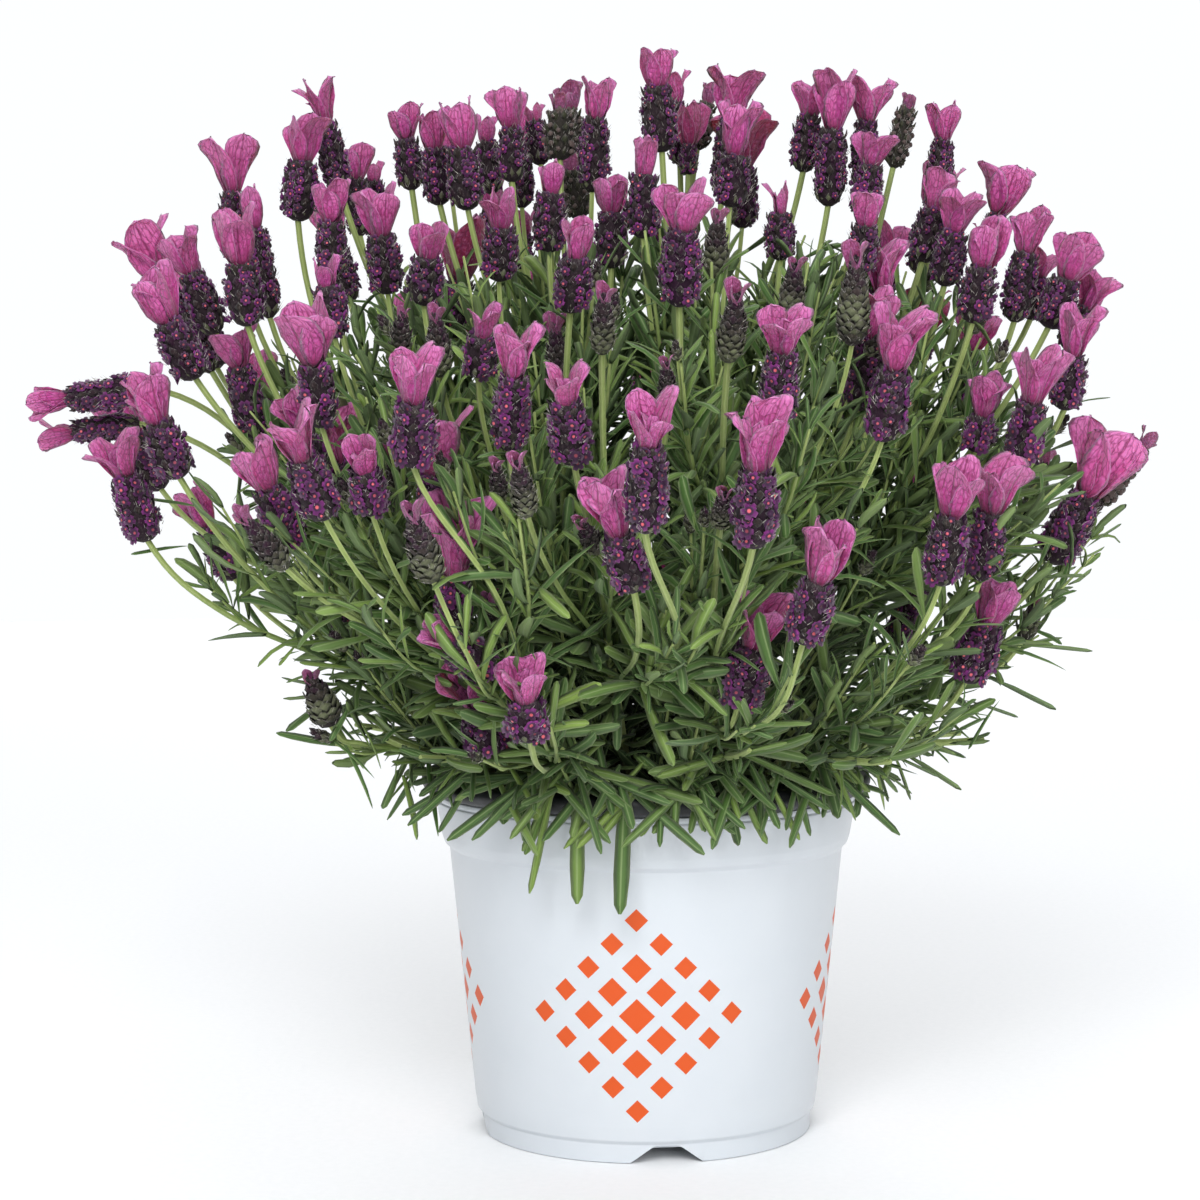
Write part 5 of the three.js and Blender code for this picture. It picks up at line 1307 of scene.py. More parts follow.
copies_tree, wire, given = new_tree("set_on_stems", {
    "Geometry": "Geometry", "Forms": "Collection", "Material": "Material", "Turn Spread": "Float",
    "Size Spread": "Float", "Cells Across": "Int", "Seed": "Int"})
settings = {"primary_axis": "Z", "secondary_axis": "X"}
sockets = {0: named(wire, "grows", "FLOAT_VECTOR"), 1: named(wire, "faces", "FLOAT_VECTOR")}
aimed = wire.node("FunctionNodeAxesToRotation", settings, sockets)
spin = joined(wire, 0.0, 0.0, (random_part(wire, given["Seed"]) - 0.5) * given["Turn Spread"])
sockets = {0: aimed, 1: turned_by(wire, spin)}
aimed = wire.node("FunctionNodeRotateRotation", {"rotation_space": "LOCAL"}, sockets)
swell = (random_part(wire, given["Seed"] + 1) - 0.5) * given["Size Spread"] + 1
points = wire.node("GeometryNodeMeshToPoints", {}, {0: given["Geometry"]})
close_with_copies(wire, given, numbered_cells(wire, points, given["Cells Across"]),
                  named(wire, "form", "INT"), aimed, named(wire, "size", "FLOAT_VECTOR") * swell)


def grown_copies(name, items, forms, material, slot, turn=0.0, spread=0.0, seed=1):
    """Sets a copy of a form at each item: place, the ways it grows and faces, size, form, tone and shade"""
    places, grows, faces, sizes, kinds, tones, shades = (np.array(column) for column in zip(*items))
    mesh = bpy.data.meshes.new("points")
    mesh.from_pydata(places.tolist(), [], [])
    keep_values(mesh, "FLOAT_VECTOR", grows=grows, faces=faces, size=sizes)
    keep_values(mesh, "FLOAT", tone=tones, shade=shades)
    keep_values(mesh, "INT", form=kinds)
    made = grown(name, add_object("host", mesh), copies_tree, {
        "Forms": forms, "Material": material, "Turn Spread": turn, "Size Spread": spread, "Seed": seed,
        "Cells Across": math.ceil(math.sqrt(len(items)))})
    finished(made, material, slot, *sprays, *leafy_nodes)


def grown_pieces(name, count, items, forms, material, slot, turn, spread, seed):
    """Shares the items out among a few pieces"""
    for k in range(count):
        grown_copies(f"{name}_{k + 1}", items[k::count], forms, material, slot, turn, spread, seed + k)


def in_bounds(places):
    """Whether the points lie inside the plant's outer bounds"""
    return bool(np.all((places > np.array(cad_box[0]) + 0.001) & (places < np.array(cad_box[1]) - 0.001)))


def clears_pot(places):
    """Whether the points lie outside the pot's lip and wall and above the mix"""
    away = np.hypot(places[:, 0] - POT_AXIS[0], places[:, 1] - POT_AXIS[1])
    height = places[:, 2]
    above = (height > (LIP_HEIGHT + 2) * MM) | ((away < LIP_INNER) & (height > MIX_TOP)) | (away > LIP_OUTER)
    return bool(above.all())


leaves = []


def add_leaf(place, grows, faces, length, width, form):
    """Adds a leaf, unless its blade would run into the pot"""
    bend = (*LEAF_BENDS, *TUFT_BENDS)[form]
    sag = np.array([(part, -part ** 2 * bend / 2) for part in BLADE_PARTS])
    blade = place + (sag[:, :1] * grows + sag[:, 1:] * faces) * length
    if not clears_pot(blade) or not in_bounds(blade) or not leafy_here(blade[-1], drawn(DOME_FRAY)):
        return
    # Leaves near the axis and low down get a small shade value, which the leaf's skin turns into painted
    # shade
    depth = np.hypot(*(place - POT_AXIS)[:2]) / 0.15 + max(0, place[2] - 0.21) / 0.16
    leaves.append((place, grows, faces, (length, width, length), form, draws.random(), min(1, depth)))


def leafy(path, span, spacing, lengths, leans, tuft, tuft_lengths, droop=0.0):
    """Pairs of leaves with tufts in their axils along a span of a stem, given in millimetres from its ends"""
    steps = np.concatenate(([0], np.cumsum(np.linalg.norm(np.diff(path, axis=0), axis=1))))
    begin, end = span[0] * MM, steps[-1] - span[1] * MM
    turn = draws.random() * math.pi
    reach = begin
    while reach < end:
        part = (reach - begin) / max(end - begin, 0.001)
        place = np.array([np.interp(reach, steps, path[:, k]) for k in range(3)])
        ahead = np.array([np.interp(reach + 0.002, steps, path[:, k]) for k in range(3)])
        axis = unit(ahead - place) if reach + 0.002 < steps[-1] else unit(path[-1] - path[-2])
        side = level_side(axis)
        for k in range(2):
            angle = turn + k * math.pi + drawn(PAIR_TURNS)
            out = way_round(axis, side, angle)
            lean = math.radians(between(leans, part) + drawn(LEAN_SPREAD))
            length = between(lengths, part) * drawn(LENGTH_SPREAD) * MM
            sink = np.array((0, 0, droop * draws.random()))
            grows = unit(axis * math.cos(lean) + out * math.sin(lean) - sink)
            form = int(draws.integers(LEAF_FORMS))
            width = drawn(LEAF_WIDTHS) * MM * min(1, length / FULL_LEAF)
            add_leaf(place + out * 0.0008, grows, square_to(axis, grows), length, width, form)
            for _ in range(tuft):
                out_off = way_round(axis, side, angle + drawn(TUFT_TURNS))
                lean = math.radians(drawn(TUFT_LEANS))
                grows = axis * math.cos(lean) + out_off * math.sin(lean)
                form = LEAF_FORMS + int(draws.integers(len(TUFT_BENDS)))
                length, width = drawn(tuft_lengths) * MM, drawn(TUFT_WIDTHS) * MM
                add_leaf(place + out_off * 0.001, grows, square_to(axis, grows), length, width, form)
        turn += math.pi / 2 + drawn(QUARTER_TURNS)
        reach += spacing * drawn(SPACING_SPREAD) * MM


for path in main_paths:
    leafy(path, (24, 2), 12, lengths=(36, 40), leans=(68, 46), tuft=1, tuft_lengths=(12, 22), droop=0.5)
for path in leafy_paths:
    leafy(path, (26, 1), 8.5, lengths=(34, 32), leans=(64, 38), tuft=1, tuft_lengths=(10, 22), droop=0.8)
for path in flower_paths:
    leafy(path, (8, drawn(BARE_ENDS)), 14, lengths=(37, 27), leans=(46, 24), tuft=1, tuft_lengths=(9, 18))
for path in shoot_paths:
    leafy(path, (8, 0), 10, lengths=(34, 20), leans=(44, 20), tuft=draws.integers(2), tuft_lengths=(8, 14))


def at_reach(column, row, reach):
    """The place of the front view's pixel on the near side of the pot, at a distance from its axis"""
    depth = -reach
    for _ in range(6):
        depth = -math.sqrt(max(reach ** 2 - in_view(column, row, depth)[0] ** 2, 400))
    return in_view(column, row, depth)


def set_leaf(foot, tip, pixels, form, up):
    """A leaf of its own place, from its foot to its tip"""
    length, grows = np.linalg.norm(tip - foot) * MM, unit(tip - foot)
    width = pixels * CAMERA_DISTANCE / FOCAL_PIXELS
    faces = square_to(up, grows)
    leaves.append((planted(foot), grows, faces, (length, width, length), form, draws.random(), 1))


def place_about(angle, reach, height):
    """A place at an angle about the pot's axis, at a distance from it and a height"""
    return POT_AXIS + np.array((reach * math.cos(angle), reach * math.sin(angle), height))


rim_form = LEAF_FORMS + len(TUFT_BENDS)
for k in range(RIM_LEAF_COUNT):
    angle = (k + draws.random()) * 2 * math.pi / RIM_LEAF_COUNT
    angle -= math.pi / 2 + RIM_CROWDING * math.sin(angle)
    if abs(math.cos(angle)) > RIM_SIDES and draws.random() < RIM_GAPS:
        continue
    turn, reach = angle + drawn(RIM_LEAF_TURNS), drawn(RIM_LEAF_REACHES)
    foot = place_about(angle, RIM_LEAF_START, drawn(RIM_LEAF_FEET))
    tip = place_about(turn, reach, drawn(RIM_LEAF_TIPS))
    grows = unit(tip - foot)
    faces = square_to((foot - POT_AXIS) * (1, 1, 0), grows)
    length, width = np.linalg.norm(tip - foot), drawn(LEAF_WIDTHS) * MM
    leaves.append((foot, grows, faces, (length, width, length), rim_form, draws.random(), 1))
for foot_column, foot_row, tip_column, tip_row, width in RIM_LEAVES:
    foot = at_reach(foot_column, foot_row, RIM_REACHES[0])
    tip = at_reach(tip_column, tip_row, RIM_REACHES[1])
    foot[2] = max(foot[2], RIM_LEAF_FOOT)
    set_leaf(foot, tip, width, rim_form, tip * (1, 1, 0))
for foot_column, foot_row, tip_column, tip_row, width, foot_depth, tip_depth in EDGE_LEAVES:
    foot, tip = in_view(foot_column, foot_row, foot_depth), in_view(tip_column, tip_row, tip_depth)
    set_leaf(foot, tip, width, 0, np.array((0.0, 0.0, 1.0)))

leaf_forms = form_set("leaf_forms", [
    *[thin_piece("leaf", LEAF_STATIONS, LEAF_LANES, LEAF_THICKNESS, leaf_place(bend, sickle))
      for bend, sickle in zip(LEAF_BENDS, LEAF_SICKLES)],
    *[thin_piece("tuft_leaf", TUFT_STATIONS, LEAF_LANES, TUFT_THICKNESS, leaf_place(bend, TUFT_SICKLE))
      for bend in TUFT_BENDS],
    thin_piece("rim_leaf", RIM_STATIONS, LEAF_LANES, LEAF_THICKNESS, rim_leaf_place)])

leaf_skin, wire = new_finish("leaf", Specular_IOR_Level=0.32, Sheen_Weight=0.06, Sheen_Roughness=0.6)
place = wire.place()
over, along = wire.own_map()
under = over > 0.5
from_rib = ((over * 2).of("FRACT") * 2 - 1).of("ABSOLUTE")
tone, shade = wire.attribute("tone"), wire.attribute("shade")
cloud = place.noise(90.0, 3.0)
hairs = place.noise(1500.0, 2.0)
green = tone.grade(0.35, 1.0).tones(LEAF_GREEN, LEAF_YELLOW)
green = (cloud * 0.7 + (tone * 7.3).of("FRACT") * 0.5 - 0.35).tones(green, LEAF_GREY)
# Painted shade: leaves deep inside the plant are darkened, and their pale edges, groove and felt fade
green = (1 - shade.grade(0.2, 0.95)).tones(green, LEAF_PAINTED_SHADE)
rim_part = from_rib.grade(0.62, 0.95) * 0.6
groove = 1 - from_rib.grade(0.0, 0.2)
upper = ((rim_part + groove * 0.45) * (0.35 + shade * 0.65)).tones(green, LEAF_EDGE)
lower = ((0.4 + groove * 0.35) * (0.2 + shade * 0.8)).tones(green, LEAF_FELT)
paint(wire, Base_Color=under.tones(upper, lower),
      Roughness=0.5 + under * 0.2 + hairs * 0.15,
      Normal=(hairs * 0.3 - groove * (1 - under) + groove * under + cloud * 0.4).bump(0.35, 0.0004))
grown_pieces("leaves", LEAF_PIECES, leaves, leaf_forms, leaf_skin, "lavender_leaf", 0.5, 0.15, 1)

# Spikes. Under its bracts each head is a stout spike: overlapping hairy scales, grey-green to purple with
# pale fringes, in ranks on a core. Between the ranks stand paired columns of florets and fine hairs.
COLUMNS = 8
FLORET_RISE = 4.5
SCALE_RISE = 5.2
BUD_RISE = 2.5
SMALL_BUD_RISE = 2
SMALL_BUD_COLUMNS = 5
FLORET_RADII = (2.2, 2.8)
FLORET_SEATS = (0.88, 1.0)
SHUT_FORM = 2
SHUT_SHARE = 0.14
DULL_SHUT_SHARE = 0.8
PAIR_SHIFT = 0.16
PAIR_PLAY = (-0.12, 0.12)
FULL_HEIGHTS = (0.27, 0.37)
FULL_SHARES = (1.12, 0.82)
SPENT_SHARE = 0.08
HAIRS_PER_SPIKE = 86
HAIR_LENGTHS = (1.6, 3.2)
HAIR_WIDTH = 0.26
HAIR_SEAT = 0.96
SPIKE_LENGTH = 0.025
CLOSED_SEAT = 0.84
OPEN_SEAT = 0.8
SCALE_PLAY = (-0.1, 0.1)
SCALE_LENGTHS = (4.0, 5.0)
FOOT_SCALE_LENGTHS = (5.0, 6.2)
CLOSED_SCALE_LENGTHS = (1.5, 1.9)
SCALE_OUTLINE = ((0, 0.35, 0.7, 1), (0.5, 1, 0.8, 0.06))
SCALE_STATIONS = (0, 0.55, 1)
SCALE_LANES = (-1, 0, 1)
SCALE_THICKNESS = 0.09
SCALE_FLICKS = (0.0, 0.14, 0.26)
CORE_SIDES = 8
SPIKE_STATIONS = (0, 0.05, 0.15, 0.35, 0.6, 0.82, 0.95, 1)
SPIKE_WIDTHS = (0.3, 0.66, 0.9, 1.0, 0.95, 0.84, 0.7, 0.45)
BUD_WIDTHS = (0.4, 0.8, 1.0, 1.0, 0.86, 0.6, 0.3, 0.06)
CORE_SHARE = 0.8
SCALE_PURPLE = tint(48, 12, 42)
SCALE_BROWN = tint(34, 22, 26)
SCALE_GREEN = tint(66, 78, 46)
SCALE_FRINGE = tint(150, 142, 142)
BUD_GREY = tint(136, 144, 108)
SCALE_HAIR = tint(170, 160, 150)
SCALE_SHADOW = tint(30, 14, 30)
HAIR_TIP = tint(192, 190, 176)


def core_form(widths):
    """The core of a spike of unit radius and length"""
    made = bmesh.new()
    layer = made.loops.layers.uv.new("piece")
    angles = [k * 2 * math.pi / CORE_SIDES for k in range(CORE_SIDES)]
    rings = [[made.verts.new((w * math.cos(a), w * math.sin(a), s)) for a in angles]
             for s, w in zip(SPIKE_STATIONS, widths)]
    for low, high, s_low, s_high in zip(rings, rings[1:], SPIKE_STATIONS, SPIKE_STATIONS[1:]):
        for k in range(CORE_SIDES):
            n = (k + 1) % CORE_SIDES
            face = made.faces.new((low[k], low[n], high[n], high[k]))
            for loop, uv in zip(face.loops, ((k, s_low), (k + 1, s_low), (k + 1, s_high), (k, s_high))):
                loop[layer].uv = (uv[0] / CORE_SIDES, 0.06 + uv[1] * 0.88)
    for ring, level in ((rings[0][::-1], 0.03), (rings[-1], 0.97)):
        face = made.faces.new(ring)
        for k, loop in enumerate(face.loops):
            loop[layer].uv = (k / CORE_SIDES, level + 0.02 * (k % 2))
    return as_mesh("core", made, smooth=True)


def scale_place(flick):
    """A scale that is hollow towards the core, with its tip flicked out"""
    def place(s, t):
        width = np.interp(s, *SCALE_OUTLINE)
        bulge = 0.14 * np.sin(math.pi * s) - 0.2 * t ** 2 * (1 - s * 0.6)
        return bulge + flick * s ** 3, 0.5 * width * t, s
    return place


def on_spike(flower, widths, level, angle, share):
    """A place on a spike at a level and angle, and the way out there"""
    out = flower.out(angle)
    width = np.interp(level, SPIKE_STATIONS, widths) * flower.radius * share
    return flower.foot + flower.axis * flower.spike * level + out * width, out


cores, scales, florets, hairs = [], [], [], []


def lean_out(axis, out, lean):
    """The way a part grows and faces that leans out from an axis"""
    return axis * math.cos(lean) + out * math.sin(lean), out * math.cos(lean) - axis * math.sin(lean)


def scaly(flower, widths, rise, columns, hue, closed):
    """Ranks of scales on a spike or bud. On an open spike the lowest rank is a greener cup round its foot."""
    rows = max(3, round(flower.spike / MM / rise))
    pitch = 2 * math.pi * flower.radius / columns
    for row in range(rows):
        level = (row + 0.1) / rows
        for column in range(columns):
            stagger = 0.5 * (row % 2) if closed else 0.5
            angle = flower.turn + (column + stagger + drawn(SCALE_PLAY)) * 2 * math.pi / columns
            place, out = on_spike(flower, widths, level, angle, CLOSED_SEAT if closed else OPEN_SEAT)
            if closed:
                lean, tone = 0.3 - 0.65 * level, hue + 0.6 * level ** 1.5
                length = drawn(CLOSED_SCALE_LENGTHS) * rise * MM
            elif row == 0:
                lean, tone = 0.5, hue * 0.3
                length = drawn(FOOT_SCALE_LENGTHS) * MM
            else:
                lean, tone = drawn((0.0, 0.1)), hue
                length = drawn(SCALE_LENGTHS) * MM
            grows, faces = lean_out(flower.axis, out, lean)
            fullness = 0.7 + 0.3 * np.interp(level, SPIKE_STATIONS, widths)
            width = pitch * (1.2 if closed else 0.66) * fullness
            size, form = (length, width, length), int(draws.integers(len(SCALE_FLICKS)))
            scales.append((place, grows, faces, size, form, tone, draws.random()))


def in_bloom(flower, hue):
    """Columns of florets on a spike in four pairs, each column half a step above the last"""
    rows = max(4, round(flower.spike / MM / FLORET_RISE))
    fullness = np.interp(flower.foot[2], FULL_HEIGHTS, FULL_SHARES)
    for row in range(rows):
        for column in range(COLUMNS):
            level = 0.08 + 0.94 * (row + 0.3 + 0.5 * (column % 2) + drawn(PAIR_PLAY)) / (rows + 0.2)
            paired = PAIR_SHIFT * (1 - 2 * (column % 2)) + drawn(PAIR_PLAY)
            angle = flower.turn + (column + paired) * 2 * math.pi / COLUMNS
            place, out = on_spike(flower, SPIKE_WIDTHS, level, angle, drawn(FLORET_SEATS))
            sideways = np.cross(flower.axis, out)
            faces = unit(out + flower.axis * drawn((-0.25, 0.4)) + sideways * drawn((-0.35, 0.35)))
            grows = unit(np.cross(faces, draws.normal(size=3)))
            shut = flower.tone == 0 and draws.random() < DULL_SHUT_SHARE or draws.random() < SHUT_SHARE
            size = drawn(FLORET_RADII) * fullness * MM
            size *= 0.7 + 0.3 * np.interp(level, SPIKE_STATIONS, SPIKE_WIDTHS)
            if draws.random() > SPENT_SHARE:
                form = SHUT_FORM if shut else int(draws.integers(SHUT_FORM))
                florets.append((place, grows, faces, (size, size, size), form, hue, draws.random()))


def hairy(flower, widths, hue):
    """Fine hairs that stand out from between the scales"""
    for _ in range(int(HAIRS_PER_SPIKE * flower.spike / SPIKE_LENGTH)):
        angle = flower.turn + (int(draws.integers(COLUMNS)) + drawn((0.2, 0.8))) * 2 * math.pi / COLUMNS
        place, out = on_spike(flower, widths, draws.random(), angle, HAIR_SEAT)
        sideways = np.cross(flower.axis, out)
        grows = unit(flower.axis + out * drawn((0.3, 1.2)) + sideways * drawn((-0.9, 0.9)))
        faces = square_to(out, grows)
        width = HAIR_WIDTH * MM
        hairs.append((place, grows, faces, (width, width, drawn(HAIR_LENGTHS) * MM), 0, hue, draws.random()))


for flower in flowers:
    closed = flower.bract_part == 0
    widths = BUD_WIDTHS if closed else SPIKE_WIDTHS
    hue = 0.05 + 0.1 * flower.tone if closed else flower.tone * 0.5
    wide = flower.radius * CORE_SHARE
    core_size = (wide, wide, flower.spike)
    cores.append((flower.foot, flower.axis, flower.side, core_size, int(closed), hue, draws.random()))
    small = flower.spread == 0
    rise = SMALL_BUD_RISE if small else BUD_RISE if closed else SCALE_RISE
    scaly(flower, widths, rise, SMALL_BUD_COLUMNS if small else COLUMNS, hue, closed)
    hairy(flower, widths, hue)
    if not closed:
        in_bloom(flower, hue)


def hair_form():
    """A fine straight hair of unit length"""
    made = bmesh.new()
    layer = made.loops.layers.uv.new("piece")
    foot = [made.verts.new((0.5 * math.cos(a), 0.5 * math.sin(a), 0)) for a in (0, 2.1, 4.2)]
    tip = made.verts.new((0, 0, 1))
    for corners in ((foot[0], foot[1], tip), (foot[1], foot[2], tip), (foot[2], foot[0], tip), foot[::-1]):
        face = made.faces.new(corners)
        for k, loop in enumerate(face.loops):
            loop[layer].uv = (0.1 + 0.4 * k, 0.1 + 0.8 * loop.vert.co.z)
    return as_mesh("hair", made)


core_forms = form_set("core_forms", [core_form(SPIKE_WIDTHS), core_form(BUD_WIDTHS)])
scale_forms = form_set("scale_forms", [
    thin_piece("scale", SCALE_STATIONS, SCALE_LANES, SCALE_THICKNESS, scale_place(flick))
    for flick in SCALE_FLICKS])


def scale_finish(name, painted_shade):
    """Hairy scale skin: grey-green to purple, brown patches, a pale fringe and a share of painted shade"""
    material, wire = new_finish(name, Specular_IOR_Level=0.2, Sheen_Weight=0.08, Sheen_Roughness=0.5)
    place = wire.place()
    over, along = wire.own_map()
    edge = ((over * 2).of("FRACT") * 2 - 1).of("ABSOLUTE").most(along)
    hue, shade = wire.attribute("tone"), wire.attribute("shade")
    hairs = (place * (1.0, 1.0, 0.5)).noise(1300.0, 3.0, 0.65)
    green_part = (0.78 - hue * 1.1 + (shade - 0.5) * 0.5).most(0.0).least(1.0)
    body = green_part.tones(SCALE_PURPLE, SCALE_GREEN)
    body = (shade * 0.6).tones(body, SCALE_BROWN)
    young = hue.grade(0.06, 0.14) * (1 - hue.grade(0.2, 0.4))
    body = (young * (0.3 + shade * 0.4)).tones(body, BUD_GREY)
    body = (edge.grade(0.72, 1.0) * hairs.grade(0.4, 0.6) * 0.5).tones(body, SCALE_FRINGE)
    body = (hairs.grade(0.5, 0.75) * 0.3).tones(body, SCALE_HAIR)
    paint(wire, Base_Color=(hairs * 0.3 + painted_shade).tones(body, SCALE_SHADOW),
          Roughness=0.75 + hairs * 0.2,
          Normal=hairs.bump(0.6, 0.0005))
    return material


# The spike core lies in the shade between its scales and florets, so its skin gets painted shade
grown_copies("spike_cores", cores, core_forms, scale_finish("spike_core", 0.45), "lavender_bloom")
scale_skin = scale_finish("hairy_scales", 0.0)
grown_pieces("spike_scales", 2, scales, scale_forms, scale_skin, "lavender_bloom", 0.2, 0.2, 20)
hair, wire = new_finish("spike_hair", Specular_IOR_Level=0.3, Sheen_Weight=0.3)
shade = wire.attribute("shade")
paint(wire, Base_Color=shade.tones(SCALE_FRINGE, HAIR_TIP), Roughness=0.6 + shade * 0.25)
hair_forms = form_set("hair_forms", [hair_form()])
grown_copies("spike_hairs", hairs, hair_forms, hair, "lavender_bloom", spread=0.3, seed=25)

# Florets. Each is a tiny dark violet five-lobed tube with a glowing orange-pink throat. They open a few at a
# time, so some are still shut and some have dropped.
FLORET_VIOLET = tint(104, 20, 100)
FLORET_DARK = tint(42, 6, 44)
FLORET_RIM = tint(142, 48, 132)
THROAT = tint(228, 108, 108)
FLORET_SPENT = tint(84, 70, 66)
LOBES = 5
# Turn about the lobe's middle, share of the reach, and fall of the three rim points of a lobe
LOBE_POINTS = ((-0.3, 1.0, 0.0), (0.3, 1.0, 0.0), (math.pi / LOBES, 0.66, -0.12))
THROAT_RADIUS = 0.3
THROAT_DEPTH = 0.25
HEEL_DEPTH = 0.9
# First lobe's angle, reach, lift of the rim and lift of the throat: two open florets and a shut one
FLORET_SHAPES = ((0.3, 1.0, 0.1, -0.1), (0.9, 0.95, -0.12, 0.05), (0.1, 0.6, 0.1, 0.5))
FLORET_MAP = (0.24, 0.48)


def floret_form(lobes, reach, lift, throat_lift):
    """A five-lobed floret with a ring round its throat, closed behind"""
    made = bmesh.new()
    layer = made.loops.layers.uv.new("piece")
    rim, ring = [], []
    for k in range(LOBES):
        for turn, share, fall in LOBE_POINTS:
            angle, away = lobes + turn + k * 2 * math.pi / LOBES, reach * share
            rim.append(made.verts.new((lift + fall, away * math.cos(angle), away * math.sin(angle))))
        place = (throat_lift, THROAT_RADIUS * math.cos(angle), THROAT_RADIUS * math.sin(angle))
        ring.append(made.verts.new(place))
    throat = made.verts.new((throat_lift * 1.3 - THROAT_DEPTH, 0, 0))
    heel = made.verts.new((-HEEL_DEPTH, 0, 0))
    faces = [(rim[k], rim[k - 1], heel) for k in range(len(rim))]
    for k in range(LOBES):
        left, right, notch = rim[3 * k: 3 * k + 3]
        faces += [(rim[3 * k - 1], left, ring[k - 1]), (left, right, ring[k - 1]),
                  (right, ring[k], ring[k - 1]), (right, notch, ring[k]), (ring[k - 1], ring[k], throat)]
    for corners in faces:
        side = 0.75 if heel in corners else 0.25
        for loop in made.faces.new(corners).loops:
            loop[layer].uv = (side + FLORET_MAP[0] * loop.vert.co.y, 0.5 + FLORET_MAP[1] * loop.vert.co.z)
    return as_mesh("floret", made, smooth=True)


floret_forms = form_set("floret_forms", [floret_form(*shape) for shape in FLORET_SHAPES])
floret_skin, wire = new_finish("floret", Specular_IOR_Level=0.35, Sheen_Weight=0.2)
place = wire.place()
over, along = wire.own_map()
aside, aloft = (over - 0.25) / FLORET_MAP[0], (along - 0.5) / FLORET_MAP[1]
from_throat = (aside * aside + aloft * aloft).of("SQRT")
front = over < 0.5
shade, hue = wire.attribute("shade"), wire.attribute("tone")
petal = shade.tones(FLORET_DARK, FLORET_VIOLET)
petal = (from_throat.grade(0.5, 1.0) * front * (0.25 + shade * 0.5)).tones(petal, FLORET_RIM)
collar = from_throat.grade(0.16, 0.3) - from_throat.grade(0.34, 0.6)
petal = (front * collar).tones(petal, FLORET_DARK)
glow = (1 - from_throat.grade(0.12, 0.26)) * front * (0.3 + shade.grade(0.1, 0.7) * 0.6)
petal = (1 - hue.grade(0.1, 0.45)).tones(glow.tones(petal, THROAT), FLORET_SPENT)
paint(wire, Base_Color=petal,
      Roughness=0.45 + place.noise(900.0) * 0.3,
      Normal=place.noise(1400.0, 2.0).bump(0.4, 0.0003))
grown_pieces("florets", 2, florets, floret_forms, floret_skin, "lavender_bloom", 0.3, 0.25, 30)

# Bracts. The showy flags on top of each head are five or six thin petal-like bracts, pink to crimson, narrow
# at the foot, wavy at the edge and veined like fine paper. The two inner ones are smaller and more upright.
BRACT_THICKNESS = 0.012
BRACT_BENDS = (0.6, -0.35, 1.1, 0.2, 0.8, 0.4)
BRACT_FLARES = (0.12, 0.04, 0.24, 0.1, -0.06, 0.26)
BRACT_TWISTS = (0.2, -0.15, 0.0, 0.35, -0.3, 0.1)
BRACT_WIDEST = 0.56
BRACT_PHASE = 1.7
BRACT_SHORTENING = 0.96
INNER_BRACTS = 2
INNER_TURN = 0.7
INNER_LENGTHS = (0.5, 0.72)
OUTER_LENGTHS = (0.78, 1.0)
INNER_SPREADS = (0.1, 0.4)
OUTER_SPREADS = (0.45, 0.95)
BRACT_WIDTH_PARTS = (0.5, 0.74)
BRACT_PLAY = (-0.3, 0.3)
PLUME_FORM = 3
PLUME_TONE = 0.18
BRACT_STATIONS = (0, 0.15, 0.33, 0.52, 0.68, 0.81, 0.91, 0.975, 1)
PLUME_BRACTS = 3
PLUME_SHARES = (0.34, 0.5)
BRACT_LANES = (-1, -0.72, -0.36, 0, 0.36, 0.72, 1)
BRACT_PINK = tint(202, 84, 152)
BRACT_PALE = tint(224, 134, 192)
BRACT_MAGENTA = tint(166, 46, 126)
BRACT_CRIMSON = tint(126, 22, 60)
BRACT_WINE = tint(172, 58, 104)
BRACT_BASE = tint(112, 16, 62)
BRACT_VEIN = tint(112, 24, 76)
BRACT_DULL = tint(112, 66, 98)


def bract_width(s):
    """Width of a bract along its length: narrow at the foot, widest past the middle and rounded at the tip"""
    low = 0.34 + 0.66 * np.sin(math.pi / 2 * np.clip(s / BRACT_WIDEST, 0, 1) ** 0.9)
    high = (1 - np.clip((s - BRACT_WIDEST) / (1 - BRACT_WIDEST), 0, 1) ** 2.3) ** 0.44
    return low * high


def bract_place(bend, flare, twist, phase):
    """A bract that wraps round at its foot and flares, ripples and pleats towards its tip"""
    def place(s, t):
        width = bract_width(s)
        x, z = bent(s, bend)
        wrap = -0.15 * t ** 2 * (1 - 0.75 * s) * width + flare * t ** 2 * s ** 2 * width
        ripple = 0.085 * s * (1 - 0.35 * s) * t ** 2 * np.sin(9 * s + 2.4 * t + phase)
        pleat = 0.026 * np.cos(8 * t + phase) * np.sin(math.pi * s)
        pleat += 0.02 * np.sin(11 * s + 5 * t + phase) * s
        out = x + wrap + ripple + pleat + 0.5 * twist * s * t * width
        return out, 0.5 * width * t, z - 0.04 * t ** 2 * s ** 4
    return place


bracts = []


def plumed(bud):
    """The short folded plume of young bracts at the top of a closed bud"""
    for k in range(PLUME_BRACTS):
        out = bud.out(k * 2 * math.pi / PLUME_BRACTS + drawn(BRACT_PLAY))
        grows, faces = lean_out(bud.axis, out, drawn((-0.05, 0.12)))
        length = bud.length * drawn(PLUME_SHARES)
        place = bud.neck - bud.axis * length * 0.45 + out * bud.radius * 0.3
        width = min(length * 0.42, bud.radius * 1.1)
        bracts.append((place, grows, faces, (length, width, length), PLUME_FORM, PLUME_TONE, draws.random()))


def bract_tips(place, grows, faces, length, width):
    """The farthest points of a bract: its tip, bent either way, and its sides"""
    across = np.cross(grows, faces) * width * 0.4
    middle, near_tip, tip = (place + grows * length * part for part in (0.7, 0.85, 1))
    return [near_tip + faces * length * 0.6, tip - faces * length * 0.1, middle + across, middle - across]


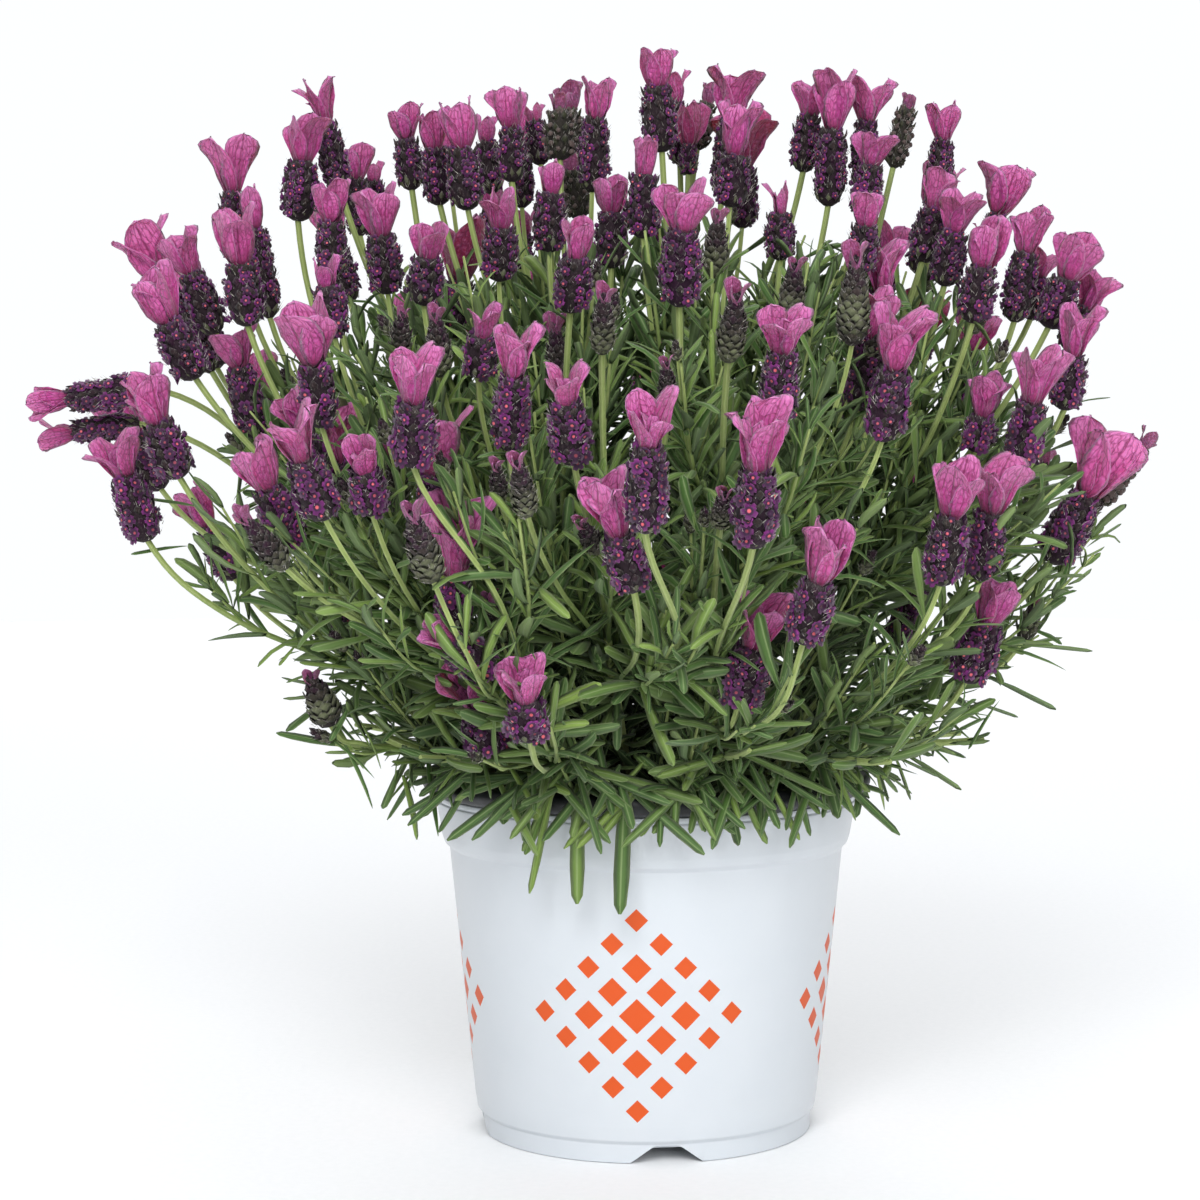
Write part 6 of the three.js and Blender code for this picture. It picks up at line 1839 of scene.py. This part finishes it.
def flagged(flower):
    """The outer and inner bracts of an open head, each shortened until it lies inside the plant's bounds"""
    full = flower.length * flower.bract_part + 0.002
    start = drawn(BRACT_PLAY)
    count = 4 if flower.spread > 0.005 else 3
    for k in range(count + INNER_BRACTS):
        inner = k >= count
        angle = start + math.pi / 4 + k * 2 * math.pi / count + drawn(BRACT_PLAY)
        out = flower.out(angle + (INNER_TURN if inner else 0))
        length = full * (1.0 if k == 0 else drawn(INNER_LENGTHS if inner else OUTER_LENGTHS))
        foot_out = flower.radius * (0.2 if inner else 0.42)
        tip_out = flower.spread * drawn(INNER_SPREADS if inner else OUTER_SPREADS)
        lean = math.asin(max(-0.2, min(0.85, (tip_out - foot_out) / length)))
        form = int(draws.integers(len(BRACT_BENDS)))
        lean -= BRACT_BENDS[form] * 0.36 - 0.05
        grows, faces = lean_out(flower.axis, out, lean)
        width = min(length * drawn(BRACT_WIDTH_PARTS), flower.spread * 1.8 + 0.002)
        place = flower.neck - flower.axis * 0.002 + out * foot_out
        while not in_bounds(bract_tips(place, grows, faces, length, width)):
            length, width = length * BRACT_SHORTENING, width * BRACT_SHORTENING
        size = (length, width, length)
        bracts.append((place, grows, faces, size, form, flower.tone * 0.5, draws.random()))


for flower in flowers:
    if flower.spread == 0:
        continue
    if flower.bract_part == 0:
        plumed(flower)
    else:
        flagged(flower)

bract_forms = form_set("bract_forms", [
    thin_piece("bract", BRACT_STATIONS, BRACT_LANES, BRACT_THICKNESS, bract_place(*shape, k * BRACT_PHASE))
    for k, shape in enumerate(zip(BRACT_BENDS, BRACT_FLARES, BRACT_TWISTS))])
bract_skin, wire = new_finish("bract", Specular_IOR_Level=0.3, Sheen_Weight=0.25, Subsurface_Weight=0.12,
                              Subsurface_Scale=0.002)
place = wire.place()
over, along = wire.own_map()
inner_side = over > 0.5
across = (over * 2).of("FRACT") * 2 - 1
from_rib = across.of("ABSOLUTE")
hue, shade = wire.attribute("tone"), wire.attribute("shade")
drift = place.noise(160.0, 3.0)
fans = (across * (9.0 + along * 5.0) + (drift - 0.5) * 3.0).of("SINE").of("ABSOLUTE")
veins = (1 - fans.grade(0.0, 0.35)) * (1 - along.grade(0.8, 1.0))
mottle = place.noise(650.0, 3.0)
net_place = joined(wire, across * 3.2 + drift, along * 5.5 + mottle * 0.5, shade * 40.0)
net = wire.node("ShaderNodeTexVoronoi", {"feature": "DISTANCE_TO_EDGE"}, {"Vector": net_place, "Scale": 1.25})
net = 1 - net.grade(0.0, 0.16)
rib = 1 - from_rib.grade(0.0, 0.09)
pink = shade.tones(BRACT_PINK, BRACT_MAGENTA)
pink = (along.grade(0.45, 1.0) * 0.75).tones(pink, BRACT_PALE)
deep = along.grade(0.3, 1.0).tones(BRACT_CRIMSON, BRACT_WINE)
flesh = hue.grade(0.55, 0.95).tones(pink, deep)
flesh = (1 - hue.grade(0.05, 0.45)).tones(flesh, BRACT_DULL)
flesh = (1 - along.grade(0.02, 0.42)).tones(flesh, BRACT_BASE)
flesh = (inner_side * 0.2 + drift * 0.3 - 0.1).tones(flesh, BRACT_MAGENTA)
flesh = (mottle.grade(0.42, 0.7) * 0.45 * along.grade(0.1, 0.5)).tones(flesh, BRACT_PALE)
flesh = (veins * 0.5 + net * 0.55 + rib * 0.5).least(0.8).tones(flesh, BRACT_VEIN)
flesh = (from_rib.most(along).grade(0.9, 1.0) * 0.6).tones(flesh, BRACT_PALE)
paint(wire, Base_Color=flesh,
      Roughness=0.5 + drift * 0.25,
      Normal=(mottle * 0.8 - veins * 0.5 - net * 0.5 - rib).bump(0.6, 0.0005))
grown_pieces("bracts", 2, bracts, bract_forms, bract_skin, "lavender_bloom", 0.15, 0.0, 40)
